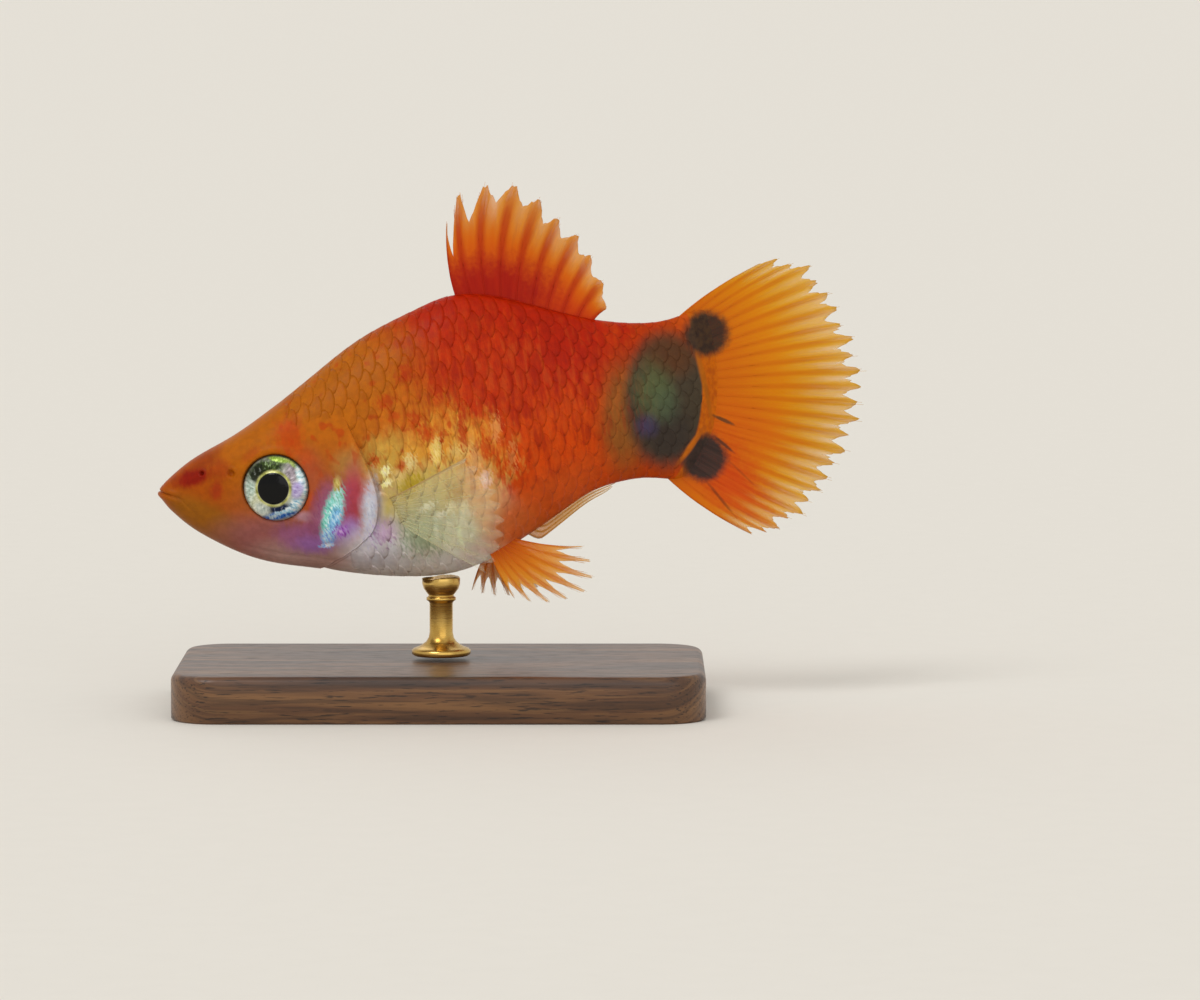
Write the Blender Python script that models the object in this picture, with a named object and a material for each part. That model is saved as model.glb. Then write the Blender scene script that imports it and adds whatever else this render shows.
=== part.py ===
"""A life-size male platy fish on a small display stand, nose a little down and tail turned away.

Sizes are in millimetres and become metres when a mesh is made. The fish is first laid out straight:
s runs from the snout to the tail, y to its right side and h up. posed() bends it, tips it and lifts
it onto its rod. The origin is the centre of the underside of the stand's base, with +Z up, and the
fish faces -X.
"""

import math

import bmesh
import bpy
import numpy as np
from mathutils import Vector
from mathutils.bvhtree import BVHTree

MM = 0.001

# Gaps between neighbouring pieces, and the half of one that each side of a cut keeps.
GAP = 0.3
HALF_GAP = GAP / 2

# Pose: the body bends in one arc behind the gills, and the snout points down.
BEND_START = 15.0
BEND_RADIUS = 82.0
NOSE_DOWN = math.radians(10.0)

# Stand: the rod meets the belly under the point where the fish balances.
BASE_LENGTH = 34.0
BASE_WIDTH = 20.0
BASE_HEIGHT = 3.0
BASE_CORNER = 3.0
BASE_CHAMFER = 0.5
BELLY_CLEARANCE = 5.5
BALANCE_S = 17.0
ROD_RADIUS = 0.75
ROD_FOOT_RADIUS = 1.9
ROD_FOOT_HEIGHT = 0.8
ROD_CUP_RADIUS = 1.25
ROD_CUP_HEIGHT = 1.1

# The snout is rounded over this length.
NOSE_LENGTH = 0.6
AROUND = 40

# Eye, nostrils and mouth, as s and h on the straight fish.
EYE_AT = (7.67, -0.82)
EYE_RADIUS = 2.12
EYE_BULGE = 0.9
EYE_DEPTH = 0.28
PUPIL_RADIUS = 1.0
NOSTRILS = ((5.0, 0.55, 0.26), (3.1, 0.85, 0.17))
MOUTH_CORNER = (1.35, -0.5)
GILL_AT = (12.45, -2.35)
GILL_PLATE = 0.75


def spline(points):
    """A smooth curve through a few points, as a function; it stays level with its ends outside them."""
    knots, values = (np.array(column, float) for column in zip(*points))
    gap = np.diff(knots)
    slope = np.diff(values) / gap
    system = np.eye(len(knots))
    right = np.zeros(len(knots))
    for i in range(1, len(knots) - 1):
        system[i, i - 1 : i + 2] = gap[i - 1], 2 * (gap[i - 1] + gap[i]), gap[i]
        right[i] = 6 * (slope[i] - slope[i - 1])
    bend = np.linalg.solve(system, right)

    def at(x):
        x = np.clip(x, knots[0], knots[-1])
        i = np.clip(np.searchsorted(knots, x) - 1, 0, len(gap) - 1)
        after, before = knots[i + 1] - x, x - knots[i]
        curve = (bend[i] * after**3 + bend[i + 1] * before**3) / (6 * gap[i])
        start = values[i] / gap[i] - bend[i] * gap[i] / 6
        end = values[i + 1] / gap[i] - bend[i + 1] * gap[i] / 6
        return curve + start * after + end * before

    return at


# The body's outline and sections by s: back, belly, half width, height of the widest line, and how
# square the section is above and below that line (2 is an ellipse).
BACK = spline([
    (0, 0.2), (2.2, 1.55), (5, 2.6), (8, 4.0), (11.6, 6.0), (14.5, 7.5), (18, 8.65),
    (21, 9.25), (24.5, 8.35), (28, 6.75), (30, 5.95), (32.5, 5.3), (34, 5.15), (36.5, 5.5),
])
BELLY = spline([
    (0, -0.4), (1.2, -2.05), (2.8, -3.55), (5.3, -5.22), (8.4, -6.4), (11.6, -7.42), (15, -8.22),
    (18, -8.46), (20.2, -8.05), (22.5, -7.15), (25.5, -5.8), (27.4, -4.98), (29.5, -4.65),
    (31.2, -4.72), (33, -5.15), (36.5, -5.5),
])
HALF_WIDTH = spline([
    (0, 0.95), (1.2, 1.45), (3, 2.05), (5.3, 2.7), (7.5, 3.15), (10.5, 3.6), (14, 3.9), (18, 3.85),
    (22, 3.25), (26, 2.4), (30, 1.65), (33, 1.15), (36.5, 0.7),
])
WIDEST = spline([
    (0, -0.1), (3, -0.7), (7.5, -1.0), (12, -1.8), (17, -1.9), (22, -0.9), (27, 0.2), (31, 0.3), (36, 0),
])
SQUARE_ABOVE = spline([(0, 2.6), (5, 2.8), (9, 2.5), (13, 2.1), (18, 1.8), (25, 1.75), (30, 1.9), (36, 2.1)])
SQUARE_BELOW = spline([(0, 2.2), (5, 2.1), (10, 2.0), (16, 2.15), (22, 2.0), (28, 1.9), (36, 2.1)])

# How far the rays reach, from the first ray to the last: from the middle of the fan on the back and
# tail fins, and from the root on the belly fins.
DORSAL_REACH = spline([(0, 5.7), (0.11, 6.95), (0.22, 7.4), (0.45, 6.8), (0.67, 6.4), (0.89, 6.9), (1, 6.9)])
CAUDAL_REACH = spline([(0, 10.15), (0.08, 11.85), (0.25, 12.2), (0.55, 12.3), (0.67, 11.8), (0.83, 11.15), (1, 10.1)])
PELVIC_LEFT_REACH = spline([(0, 3.0), (0.3, 4.6), (0.62, 5.8), (0.82, 5.2), (1, 4.2)])
PELVIC_RIGHT_REACH = spline([(0, 3.1), (0.5, 4.2), (1, 4.6)])

# Where the body is parted, as s by h: behind the gill covers, at the tail stalk and at the tail fin.
GILL_SEAM = spline([(-7.0, 9.0), (-5.6, 12.2), (-3.8, 13.8), (-1.5, 14.0), (2.0, 13.1), (7.5, 12.2)])
STALK_SEAM = spline([(-6, 30.3), (0, 30.0), (7, 30.3)])
FIN_SEAM = spline([(-5.4, 32.7), (-2.9, 34.5), (-0.3, 35.5), (2.6, 35.9), (5.7, 35.6)])


def slant(seam, h):
    """How much longer than its width across s a gap has to be where the seam slants."""
    step = 0.05
    return np.hypot(1, (seam(h + step) - seam(h - step)) / (2 * step))


def ahead(seam):
    """The cut's face on the side of the snout."""
    return lambda h: seam(h) - HALF_GAP * slant(seam, h)


def behind(seam):
    """The cut's face on the side of the tail."""
    return lambda h: seam(h) + HALF_GAP * slant(seam, h)


def bump(value, middle, reach):
    return np.exp(-(((value - middle) / reach) ** 2))


def relief(s, h):
    """How far the surface stands out of its plain sections: lips, cheek, gill cover and shoulder."""
    lips = 0.13 * bump(s, 0.9, 0.55) * bump(h, -0.35 - 0.3 * s, 0.5)
    cheek = 0.12 * bump(s, 9.6, 1.0) * bump(h, -3.4, 1.6)
    cover = 0.2 * bump(s, 12.2, 1.6) * bump(h, -2.3, 3.2)
    past = s - GILL_SEAM(h)
    shoulder = np.where(past > 0, -0.32 * np.exp(-np.clip(past, 0, None) / 1.1) * bump(h, -2.0, 5.0), 0)
    return lips + cheek + np.where(past <= 0, cover, 0) + shoulder


def plain_section(s, around):
    """y and h of the plain section at s, at an angle round from the right side and upwards."""
    nose = np.sqrt(1 - (1 - np.clip(s / NOSE_LENGTH, 0, 1)) ** 2)
    upper = np.sin(around) >= 0
    widest = WIDEST(s)
    reach = np.where(upper, BACK(s) - widest, widest - BELLY(s))
    power = 2 / np.where(upper, SQUARE_ABOVE(s), SQUARE_BELOW(s))
    y = HALF_WIDTH(s) * nose * np.sign(np.cos(around)) * np.abs(np.cos(around)) ** power
    h = widest + reach * nose * np.sign(np.sin(around)) * np.abs(np.sin(around)) ** power
    return y, h


def surface(s, around):
    """Points of the body's skin, on the straight fish."""
    s, around = np.broadcast_arrays(np.asarray(s, float), np.asarray(around, float))
    y, h = plain_section(s, around)
    step = 0.01
    y_on, h_on = plain_section(s, around + step)
    y_back, h_back = plain_section(s, around - step)
    across, up = h_on - h_back, y_back - y_on
    size = np.hypot(across, up) + 1e-9
    out = relief(s, h)
    return np.stack([s, y + out * across / size, h + out * up / size], axis=-1)


def side_reach(s, h):
    """Half the body's width at s and h."""
    widest = WIDEST(s)
    reach = np.where(h >= widest, BACK(s) - widest, widest - BELLY(s))
    square = np.where(h >= widest, SQUARE_ABOVE(s), SQUARE_BELOW(s))
    inside = np.clip(1 - np.abs((h - widest) / reach) ** square, 0, 1)
    return HALF_WIDTH(s) * inside ** (1 / square) + relief(s, h)


def arc(s):
    """Where the bent middle line is at s, as along, aside and heading."""
    turned = np.clip(s - BEND_START, 0, None) / BEND_RADIUS
    along = np.minimum(s, BEND_START) + BEND_RADIUS * np.sin(turned)
    aside = BEND_RADIUS * (1 - np.cos(turned))
    return along, aside, turned


def posed(points):
    """Points of the straight fish, moved to where they are on the stand."""
    s, y, h = np.moveaxis(np.asarray(points, float), -1, 0)
    along, aside, turned = arc(s)
    x = along - y * np.sin(turned) - BALANCE_S
    y = aside + y * np.cos(turned)
    cos, sin = math.cos(NOSE_DOWN), math.sin(NOSE_DOWN)
    belly = float(BELLY(BALANCE_S))
    x, h = x * cos - (h - belly) * sin, x * sin + (h - belly) * cos
    return np.stack([x, y, h + BASE_HEIGHT + BELLY_CLEARANCE], axis=-1)


def material(name, colour, roughness, metallic=0.0):
    made = bpy.data.materials.new(name)
    made.use_nodes = True
    shader = made.node_tree.nodes["Principled BSDF"]
    shader.inputs["Base Color"].default_value = (*colour, 1)
    shader.inputs["Roughness"].default_value = roughness
    shader.inputs["Metallic"].default_value = metallic
    return made


def solid(name, points, faces, finish):
    """A closed object from points in millimetres, its faces split into triangles and facing out."""
    mesh = bpy.data.meshes.new(name)
    mesh.from_pydata((np.asarray(points) * MM).tolist(), [], faces)
    work = bmesh.new()
    work.from_mesh(mesh)
    bmesh.ops.recalc_face_normals(work, faces=work.faces)
    if work.calc_volume(signed=True) < 0:
        bmesh.ops.reverse_faces(work, faces=work.faces)
    bmesh.ops.triangulate(work, faces=work.faces, quad_method="FIXED", ngon_method="BEAUTY")
    work.to_mesh(mesh)
    work.free()
    if finish:
        mesh.materials.append(finish)
    made = bpy.data.objects.new(name, mesh)
    bpy.context.scene.collection.objects.link(made)
    return made


def boolean(target, tool, operation):
    """Cuts or keeps target with tool, applies it and removes the tool."""
    step = target.modifiers.new(tool.name, "BOOLEAN")
    step.object = tool
    step.operation = operation
    graph = bpy.context.evaluated_depsgraph_get()
    target.data = bpy.data.meshes.new_from_object(target.evaluated_get(graph))
    target.modifiers.clear()
    bpy.data.objects.remove(tool)


def keep_piece(made, wanted):
    """Keeps one closed surface of an object: the one whose middle wanted() scores highest."""
    work = bmesh.new()
    work.from_mesh(made.data)
    left = set(work.faces)
    pieces = []
    while left:
        stack = [left.pop()]
        piece = set(stack)
        while stack:
            for edge in stack.pop().edges:
                for face in edge.link_faces:
                    if face in left:
                        left.discard(face)
                        piece.add(face)
                        stack.append(face)
        pieces.append(piece)
    best = max(pieces, key=wanted)
    drop = [face for piece in pieces if piece is not best for face in piece]
    bmesh.ops.delete(work, geom=drop, context="FACES")
    bmesh.ops.triangulate(work, faces=work.faces)
    work.to_mesh(made.data)
    work.free()


def largest(piece):
    return sum(face.calc_area() for face in piece)


def strip_faces(first, second):
    """Triangles between two closed rings of point numbers."""
    count = len(first)
    faces = []
    for i in range(count):
        j = (i + 1) % count
        faces += [(first[i], first[j], second[j]), (first[i], second[j], second[i])]
    return faces


def body_length(name, front, rear, shares, finish):
    """One closed length of the body. front and rear give each end's s by h; a front of None is the snout."""
    angles = np.arange(AROUND) * math.tau / AROUND
    start = front or (lambda h: 0 * h)
    rings = []
    for share in shares:
        s = np.full(AROUND, float(start(0.0)) * (1 - share) + float(rear(0.0)) * share)
        for _ in range(40):
            h = surface(s, angles)[:, 2]
            s = start(h) * (1 - share) + rear(h) * share
        rings.append(surface(s, angles))
    points, faces = [], []

    def add(ring):
        points.extend(ring)
        return list(range(len(points) - len(ring), len(points)))

    def cap(ring, numbers, seam):
        middle = ring[:, 2].mean()
        for size in (0.68, 0.36):
            h = middle + (ring[:, 2] - middle) * size
            inner = add(np.stack([seam(h), ring[:, 1] * size, h], axis=-1))
            faces.extend(strip_faces(numbers, inner))
            numbers = inner
        points.append((float(seam(middle)), 0.0, middle))
        faces.extend((numbers[i], numbers[(i + 1) % AROUND], len(points) - 1) for i in range(AROUND))

    numbered = [add(ring) for ring in rings]
    for first, second in zip(numbered, numbered[1:]):
        faces.extend(strip_faces(first, second))
    if front is None:
        points.append((0.0, 0.0, float(WIDEST(0.0))))
        faces.extend((numbered[0][i], numbered[0][(i + 1) % AROUND], len(points) - 1) for i in range(AROUND))
    else:
        cap(rings[0], numbered[0], front)
    cap(rings[-1], numbered[-1], rear)
    return solid(name, posed(points), faces, finish)


def plate(name, middle, half, finish):
    """A closed thin plate with the same triangles on both faces. middle is its middle surface by
    column and row, and half is half its thickness there."""
    columns, rows = half.shape
    normal = np.cross(np.gradient(middle, axis=0), np.gradient(middle, axis=1))
    normal /= np.linalg.norm(normal, axis=-1, keepdims=True)
    points = np.concatenate([
        (middle + normal * half[..., None]).reshape(-1, 3),
        (middle - normal * half[..., None]).reshape(-1, 3),
    ])
    count = columns * rows
    faces = []
    for c in range(columns - 1):
        for r in range(rows - 1):
            a, b = c * rows + r, (c + 1) * rows + r
            for side in (0, count):
                faces += [(side + a, side + b, side + b + 1), (side + a, side + b + 1, side + a + 1)]
    rim = [c * rows for c in range(columns)]
    rim += [(columns - 1) * rows + r for r in range(1, rows)]
    rim += [c * rows + rows - 1 for c in range(columns - 2, -1, -1)]
    rim += [r for r in range(rows - 2, 0, -1)]
    for i, a in enumerate(rim):
        b = rim[(i + 1) % len(rim)]
        faces += [(a, b, b + count), (a, b + count, a + count)]
    return solid(name, posed(points), faces, finish)


def fan(roots, tips, notches, rows, bow=0.0, flutter=0.0):
    """Middle surface of a rayed fin. Even columns are rays; odd ones are the membrane between two
    rays, which ends short of their tips by its notch. bow curves the rays within the fin, and
    flutter waves the free edge from side to side."""
    columns = 2 * len(roots) - 1
    share = np.array([0, *np.linspace(0.1, 1, rows - 1)])
    middle = np.zeros((columns, rows, 3))
    for c in range(columns):
        k = c // 2
        if c % 2:
            root, tip = (roots[k] + roots[k + 1]) / 2, (tips[k] + tips[k + 1]) / 2
            tip = root + (tip - root) * (1 - notches[k])
        else:
            root, tip = roots[k], tips[k]
        ray = tip - root
        side = np.array([-ray[2], 0, ray[0]])
        wave = flutter * math.sin(3.4 * math.pi * c / (columns - 1) + 0.6)
        for r, v in enumerate(share):
            curve = side * bow * 4 * v * (1 - v)
            middle[c, r] = root + ray * v + curve + (0, wave * v * v, 0)
    return middle


def ray_thickness(columns, rows, root, ray, web, tip):
    """Half thickness of a rayed fin: thick at the root, ridges along the rays, thin tips."""
    half = np.zeros((columns, rows))
    share = np.array([0, *np.linspace(0.1, 1, rows - 1)])
    for c in range(columns):
        full = web if c % 2 else ray
        rooted = full + (root - full) * np.clip(1 - share / 0.3, 0, 1)
        ended = np.clip((share - 0.7) / 0.3, 0, 1)
        half[c] = rooted * (1 - ended) + tip * ended
    return half


def head_parts(flesh):
    """The head, with its lower jaw parted by the mouth, sockets for the eyes and gill plates set in."""
    shares = [0.5 * (1 - math.cos(math.radians(18 * k))) / 13.5 for k in range(1, 5)]
    shares += list(np.linspace(0.037, 0.16, 8)) + list(np.linspace(0.2, 1, 20))
    head = body_length("head", None, ahead(GILL_SEAM), shares, flesh)
    covers = []
    for side, word in ((-1, "left"), (1, "right")):
        cover = head.copy()
        cover.data = head.data.copy()
        cover.name = f"gill_cover_{word}"
        bpy.context.scene.collection.objects.link(cover)
        boolean(cover, gill_tool(side, 0.0, 0.0), "INTERSECT")
        keep_piece(cover, largest)
        covers.append(cover)
        boolean(head, gill_tool(side, GAP, GAP), "DIFFERENCE")
        boolean(head, eye_shape("socket", side, GAP, None), "DIFFERENCE")
        for s, h, radius in NOSTRILS:
            boolean(head, nostril_tool(side, s, h, radius), "DIFFERENCE")
    boolean(head, mouth_tool(), "DIFFERENCE")
    jaw = head.copy()
    jaw.data = head.data.copy()
    jaw.name = "lower_jaw"
    bpy.context.scene.collection.objects.link(jaw)
    keep_piece(head, largest)
    keep_piece(jaw, lambda piece: -sum(face.calc_center_median().x for face in piece) / len(piece))
    return head, jaw, covers


def gill_outline(share):
    """s and h of the gill cover's edge, as a share of the way round; its rear lies past the seam."""
    turn = share * math.tau
    s = GILL_AT[0] + 2.0 * math.cos(turn) + 0.3 * math.sin(turn)
    h = GILL_AT[1] + 3.2 * math.sin(turn)
    return s, h


def gill_tool(side, grow, deeper):
    """A slab over the gill cover, whose inner face lies GILL_PLATE under the skin."""
    steps = 28
    points, faces = [], []
    centre_s, centre_h = GILL_AT
    inner_rings, outer_rings = [], []
    for size in (1.0, 0.7, 0.4):
        inner, outer = [], []
        for i in range(steps):
            s, h = gill_outline(i / steps)
            away = np.array([s - centre_s, h - centre_h])
            away *= size * (1 + grow / np.linalg.norm(away))
            s, h = centre_s + away[0], centre_h + away[1]
            depth = float(side_reach(s, h)) - GILL_PLATE - deeper
            for ring, y in ((inner, max(depth, 0.6)), (outer, 7.0)):
                ring.append(len(points))
                points.append((s, side * y, h))
        inner_rings.append(inner)
        outer_rings.append(outer)
    for rings, y in ((inner_rings, float(side_reach(centre_s, centre_h)) - GILL_PLATE - deeper), (outer_rings, 7.0)):
        for first, second in zip(rings, rings[1:]):
            faces += strip_faces(first, second)
        points.append((centre_s, side * y, centre_h))
        last = rings[-1]
        faces += [(last[i], last[(i + 1) % steps], len(points) - 1) for i in range(steps)]
    faces += strip_faces(inner_rings[0], outer_rings[0])
    return solid("gill_tool", posed(points), faces, None)


def eye_frame(side):
    """The eye's middle and its outward, forward and upward directions, on the straight fish."""
    s, h = EYE_AT
    step = 0.8
    along = np.array([2 * step, side * (side_reach(s + step, h) - side_reach(s - step, h)), 0])
    upright = np.array([0, side * (side_reach(s, h + step) - side_reach(s, h - step)), 2 * step])
    outward = np.cross(along, upright) * -side
    outward /= np.linalg.norm(outward)
    along /= np.linalg.norm(along)
    upright = np.cross(outward, along) * -side
    middle = np.array([s, side * side_reach(s, h), h]) - outward * EYE_DEPTH
    return middle, outward, along, upright


def eye_shape(name, side, grow, finish):
    """An eyeball, flattened from the side, with a step round the pupil. grow makes it a socket."""
    middle, outward, along, upright = eye_frame(side)
    steps = 28
    profile = []
    for turn in np.linspace(90, 0, 8):
        angle = math.radians(turn)
        radius, out = EYE_RADIUS * math.cos(angle), EYE_BULGE * math.sin(angle)
        profile.append((radius, out))
    for turn in np.linspace(-30, -90, 3):
        angle = math.radians(turn)
        profile.append((EYE_RADIUS * math.cos(angle), EYE_BULGE * math.sin(angle)))
    if grow:
        profile = [(r * (1 + grow / EYE_RADIUS), o * (1 + grow / EYE_BULGE)) for r, o in profile]
    else:
        pupil = [(PUPIL_RADIUS * 0.6, EYE_BULGE + 0.06), (PUPIL_RADIUS, EYE_BULGE * 0.93 + 0.02)]
        rim = [(PUPIL_RADIUS * 1.12, EYE_BULGE * 0.84)]
        profile = [(0, EYE_BULGE + 0.09)] + pupil + rim + [p for p in profile if p[0] > PUPIL_RADIUS * 1.3] + [(0, -EYE_BULGE)]
    points, faces, rings = [], [], []
    for radius, out in profile:
        if radius < 1e-6:
            rings.append([len(points)])
            points.append(middle + outward * out)
            continue
        rings.append(list(range(len(points), len(points) + steps)))
        for i in range(steps):
            turn = math.tau * i / steps
            points.append(middle + outward * out + (along * math.cos(turn) + upright * math.sin(turn)) * radius)
    for first, second in zip(rings, rings[1:]):
        if len(first) == 1:
            faces += [(first[0], second[i], second[(i + 1) % steps]) for i in range(steps)]
        elif len(second) == 1:
            faces += [(first[i], first[(i + 1) % steps], second[0]) for i in range(steps)]
        else:
            faces += strip_faces(first, second)
    return solid(name, posed(points), faces, finish)


def nostril_tool(side, s, h, radius):
    """A short round plug whose inner end makes one nostril's pit."""
    steps = 8
    reach = float(side_reach(s, h))
    points, faces, rings = [], [], []
    for y, size in ((reach - 0.4, 0.55), (reach + 0.5, 1.2)):
        rings.append(list(range(len(points), len(points) + steps)))
        for i in range(steps):
            turn = math.tau * i / steps
            points.append((s + radius * size * math.cos(turn), side * y, h + radius * size * math.sin(turn)))
    faces = strip_faces(rings[0], rings[1]) + [tuple(rings[0]), tuple(rings[1])]
    return solid("nostril_tool", posed(points), faces, None)


def mouth_tool():
    """A thin sheet right across the snout: along the mouth, then down behind the lower jaw."""
    corner = np.array(MOUTH_CORNER)
    path = np.array([(-1.2, 0.5), (0.0, 0.12), corner, corner + (0.75, -0.95), (3.4, -3.1), (4.1, -5.6)])
    along = np.gradient(path, axis=0)
    along /= np.linalg.norm(along, axis=1, keepdims=True)
    side = np.stack([-along[:, 1], along[:, 0]], axis=1)
    outline = np.concatenate([path + side * HALF_GAP, (path - side * HALF_GAP)[::-1]])
    count = len(outline)
    points = [(s, y, h) for y in (-6.0, 6.0) for s, h in outline]
    near, far = list(range(count)), list(range(count, 2 * count))
    half = len(path)
    faces = strip_faces(near, far)
    for ring in (near, far):
        faces += [(ring[i], ring[i + 1], ring[count - 2 - i], ring[count - 1 - i]) for i in range(half - 1)]
    return solid("mouth_tool", posed(points), faces, None)


def dorsal_fin(finish):
    """The back fin: a short first ray, then a round fan of frayed rays."""
    count, rows = 10, 6
    centre = np.array([23.9, 0, 8.8])
    roots, tips = [], []
    for k in range(count):
        u = k / (count - 1)
        s = 21.15 + 8.3 * u
        roots.append(np.array([s, 0, float(BACK(s)) + GAP]))
        turn = math.radians(116.5 - 135 * u)
        reach = float(DORSAL_REACH(u)) * (1 + 0.02 * math.sin(2.3 * k))
        tips.append(centre + reach * np.array([math.cos(turn), 0, math.sin(turn)]))
    notches = [0.5, 0.3] + [0.16] * (count - 3)
    middle = fan(roots, tips, notches, rows, bow=0.05, flutter=0.3)
    half = ray_thickness(2 * count - 1, rows, 0.5, 0.36, 0.25, 0.1)
    return plate("dorsal_fin", middle, half, finish)


def caudal_fin(finish):
    """The tail fin: a spread, frayed fan whose rays stand on the rounded end of the tail stalk."""
    count, rows = 25, 7
    centre = np.array([34.8, 0, -0.1])
    top, bottom = 5.25, -5.0
    roots, tips = [], []
    for k in range(count):
        u = k / (count - 1)
        h = top + (bottom - top) * u
        s = float(FIN_SEAM(h)) + HALF_GAP * float(slant(FIN_SEAM, h))
        roots.append(np.array([s, 0, h]))
        turn = math.radians(49 - 123 * u)
        reach = float(CAUDAL_REACH(u)) * (1 + 0.02 * math.sin(2.6 * k))
        tips.append(centre + reach * np.array([math.cos(turn), 0, math.sin(turn)]))
    middle = fan(roots, tips, [0.11] * (count - 1), rows, flutter=0.6)
    # Rays near the upper and lower edges arch outwards before they run back.
    for c in range(middle.shape[0]):
        u = c / (middle.shape[0] - 1)
        ray = middle[c, -1] - middle[c, 0]
        side = np.array([-ray[2], 0, ray[0]])
        for r in range(rows):
            v = np.linalg.norm(middle[c, r] - middle[c, 0]) / np.linalg.norm(ray)
            middle[c, r] += side * 0.04 * (1 - 2 * u) * 4 * v * (1 - v)
    half = ray_thickness(2 * count - 1, rows, 0.6, 0.36, 0.25, 0.1)
    return plate("caudal_fin", middle, half, finish)


def pelvic_fin(side, finish):
    """A belly fin: a fan on one side of the middle line. The left one is swept back along the
    belly and the right one is held further down and out."""
    count, rows = 6, 6
    left = side < 0
    splay = math.radians(16 if left else 34)
    first_turn, last_turn = (74, 17) if left else (116, 48)
    reach = PELVIC_LEFT_REACH if left else PELVIC_RIGHT_REACH
    down = np.array([0, side * math.sin(splay), -math.cos(splay)])
    back = np.array([1.0, 0, 0])
    roots, tips = [], []
    for k in range(count):
        u = k / (count - 1)
        s = 20.35 + 1.5 * u
        skin = surface(s, math.radians(270 + side * 19))
        root = skin + down * GAP
        turn = math.radians(first_turn + (last_turn - first_turn) * u)
        roots.append(root)
        tips.append(root + float(reach(u)) * (down * math.sin(turn) + back * math.cos(turn)))
    middle = fan(roots, tips, [0.28] * (count - 1), rows, bow=-0.04)
    half = ray_thickness(2 * count - 1, rows, 0.32, 0.3, 0.25, 0.1)
    word = "left" if side < 0 else "right"
    return plate(f"pelvic_fin_{word}", middle, half, finish)


def pectoral_fin(side, finish):
    """A side fin: it leaves the shoulder squarely, then turns back beside the belly."""
    count, rows = 9, 8
    share = np.array([0, 0.05, 0.11, 0.2, 0.38, 0.58, 0.78, 1.0])
    columns = 2 * count - 1
    middle = np.zeros((columns, rows, 3))
    half = np.zeros((columns, rows))
    for c in range(columns):
        u = c / (columns - 1)
        s, h = 14.75 + 0.45 * u, -2.7 - 1.7 * u
        skin = np.array([s, side * float(side_reach(s, h)), h])
        turn = math.radians(17 - 57 * u)
        length = (4.6 + 2.2 * math.sin(math.pi * (0.15 + 0.6 * u))) * (0.86 if c % 2 else 1)
        run = np.array([math.cos(turn), 0, math.sin(turn)])
        for r, v in enumerate(share):
            lift = GAP + 1.0 * (1 - math.exp(-v / 0.09)) + 1.7 * v
            middle[c, r] = skin + run * length * v + (0, side * lift, 0)
        full = 0.25 if c % 2 else 0.3
        half[c] = full + (0.1 - full) * np.clip((share - 0.65) / 0.35, 0, 1)
    word = "left" if side < 0 else "right"
    return plate(f"pectoral_fin_{word}", middle, half, finish)


def anal_fin(finish):
    """The male's anal fin: a slender rod of a few rays, laid back along the underside."""
    count, rows = 3, 9
    columns = 2 * count - 1
    share = np.array([0, 0.08, 0.18, 0.3, 0.44, 0.58, 0.72, 0.86, 1.0])
    middle = np.zeros((columns, rows, 3))
    half = np.zeros((columns, rows))
    for c in range(columns):
        u = c / (columns - 1)
        s_root = 22.65 + 1.0 * u
        for r, v in enumerate(share):
            s = s_root + (29.35 - 0.25 * (1 - u) - s_root) * v
            depth = GAP + (1 - u) * (0.78 - 0.35 * v) * min(1.0, 0.35 + v / 0.12)
            if r == 0:
                depth = GAP
            middle[c, r] = (s, 0, float(BELLY(s)) - depth)
        half[c] = (0.27 if c % 2 else 0.33) * (1 - 0.45 * share**3)
    return plate("anal_fin", middle, half, finish)


def stand_base(finish):
    """A flat base with round corners and a chamfered top edge."""
    corner_steps = 6
    rings = []
    points = []
    for z, inset in ((0.0, 0.0), (BASE_HEIGHT - BASE_CHAMFER, 0.0), (BASE_HEIGHT, BASE_CHAMFER)):
        ring = []
        for quarter in range(4):
            turn = quarter * math.pi / 2
            for i in range(corner_steps + 1):
                angle = turn + i / corner_steps * math.pi / 2
                corner_x = (BASE_LENGTH / 2 - BASE_CORNER) * (1 if quarter in (0, 3) else -1)
                corner_y = (BASE_WIDTH / 2 - BASE_CORNER) * (1 if quarter in (0, 1) else -1)
                ring.append(len(points))
                reach = BASE_CORNER - inset
                points.append((corner_x + reach * math.cos(angle), corner_y + reach * math.sin(angle), z))
        rings.append(ring)
    faces = strip_faces(rings[0], rings[1]) + strip_faces(rings[1], rings[2])
    faces += [tuple(rings[0]), tuple(rings[-1])]
    return solid("stand_base", points, faces, finish)


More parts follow.
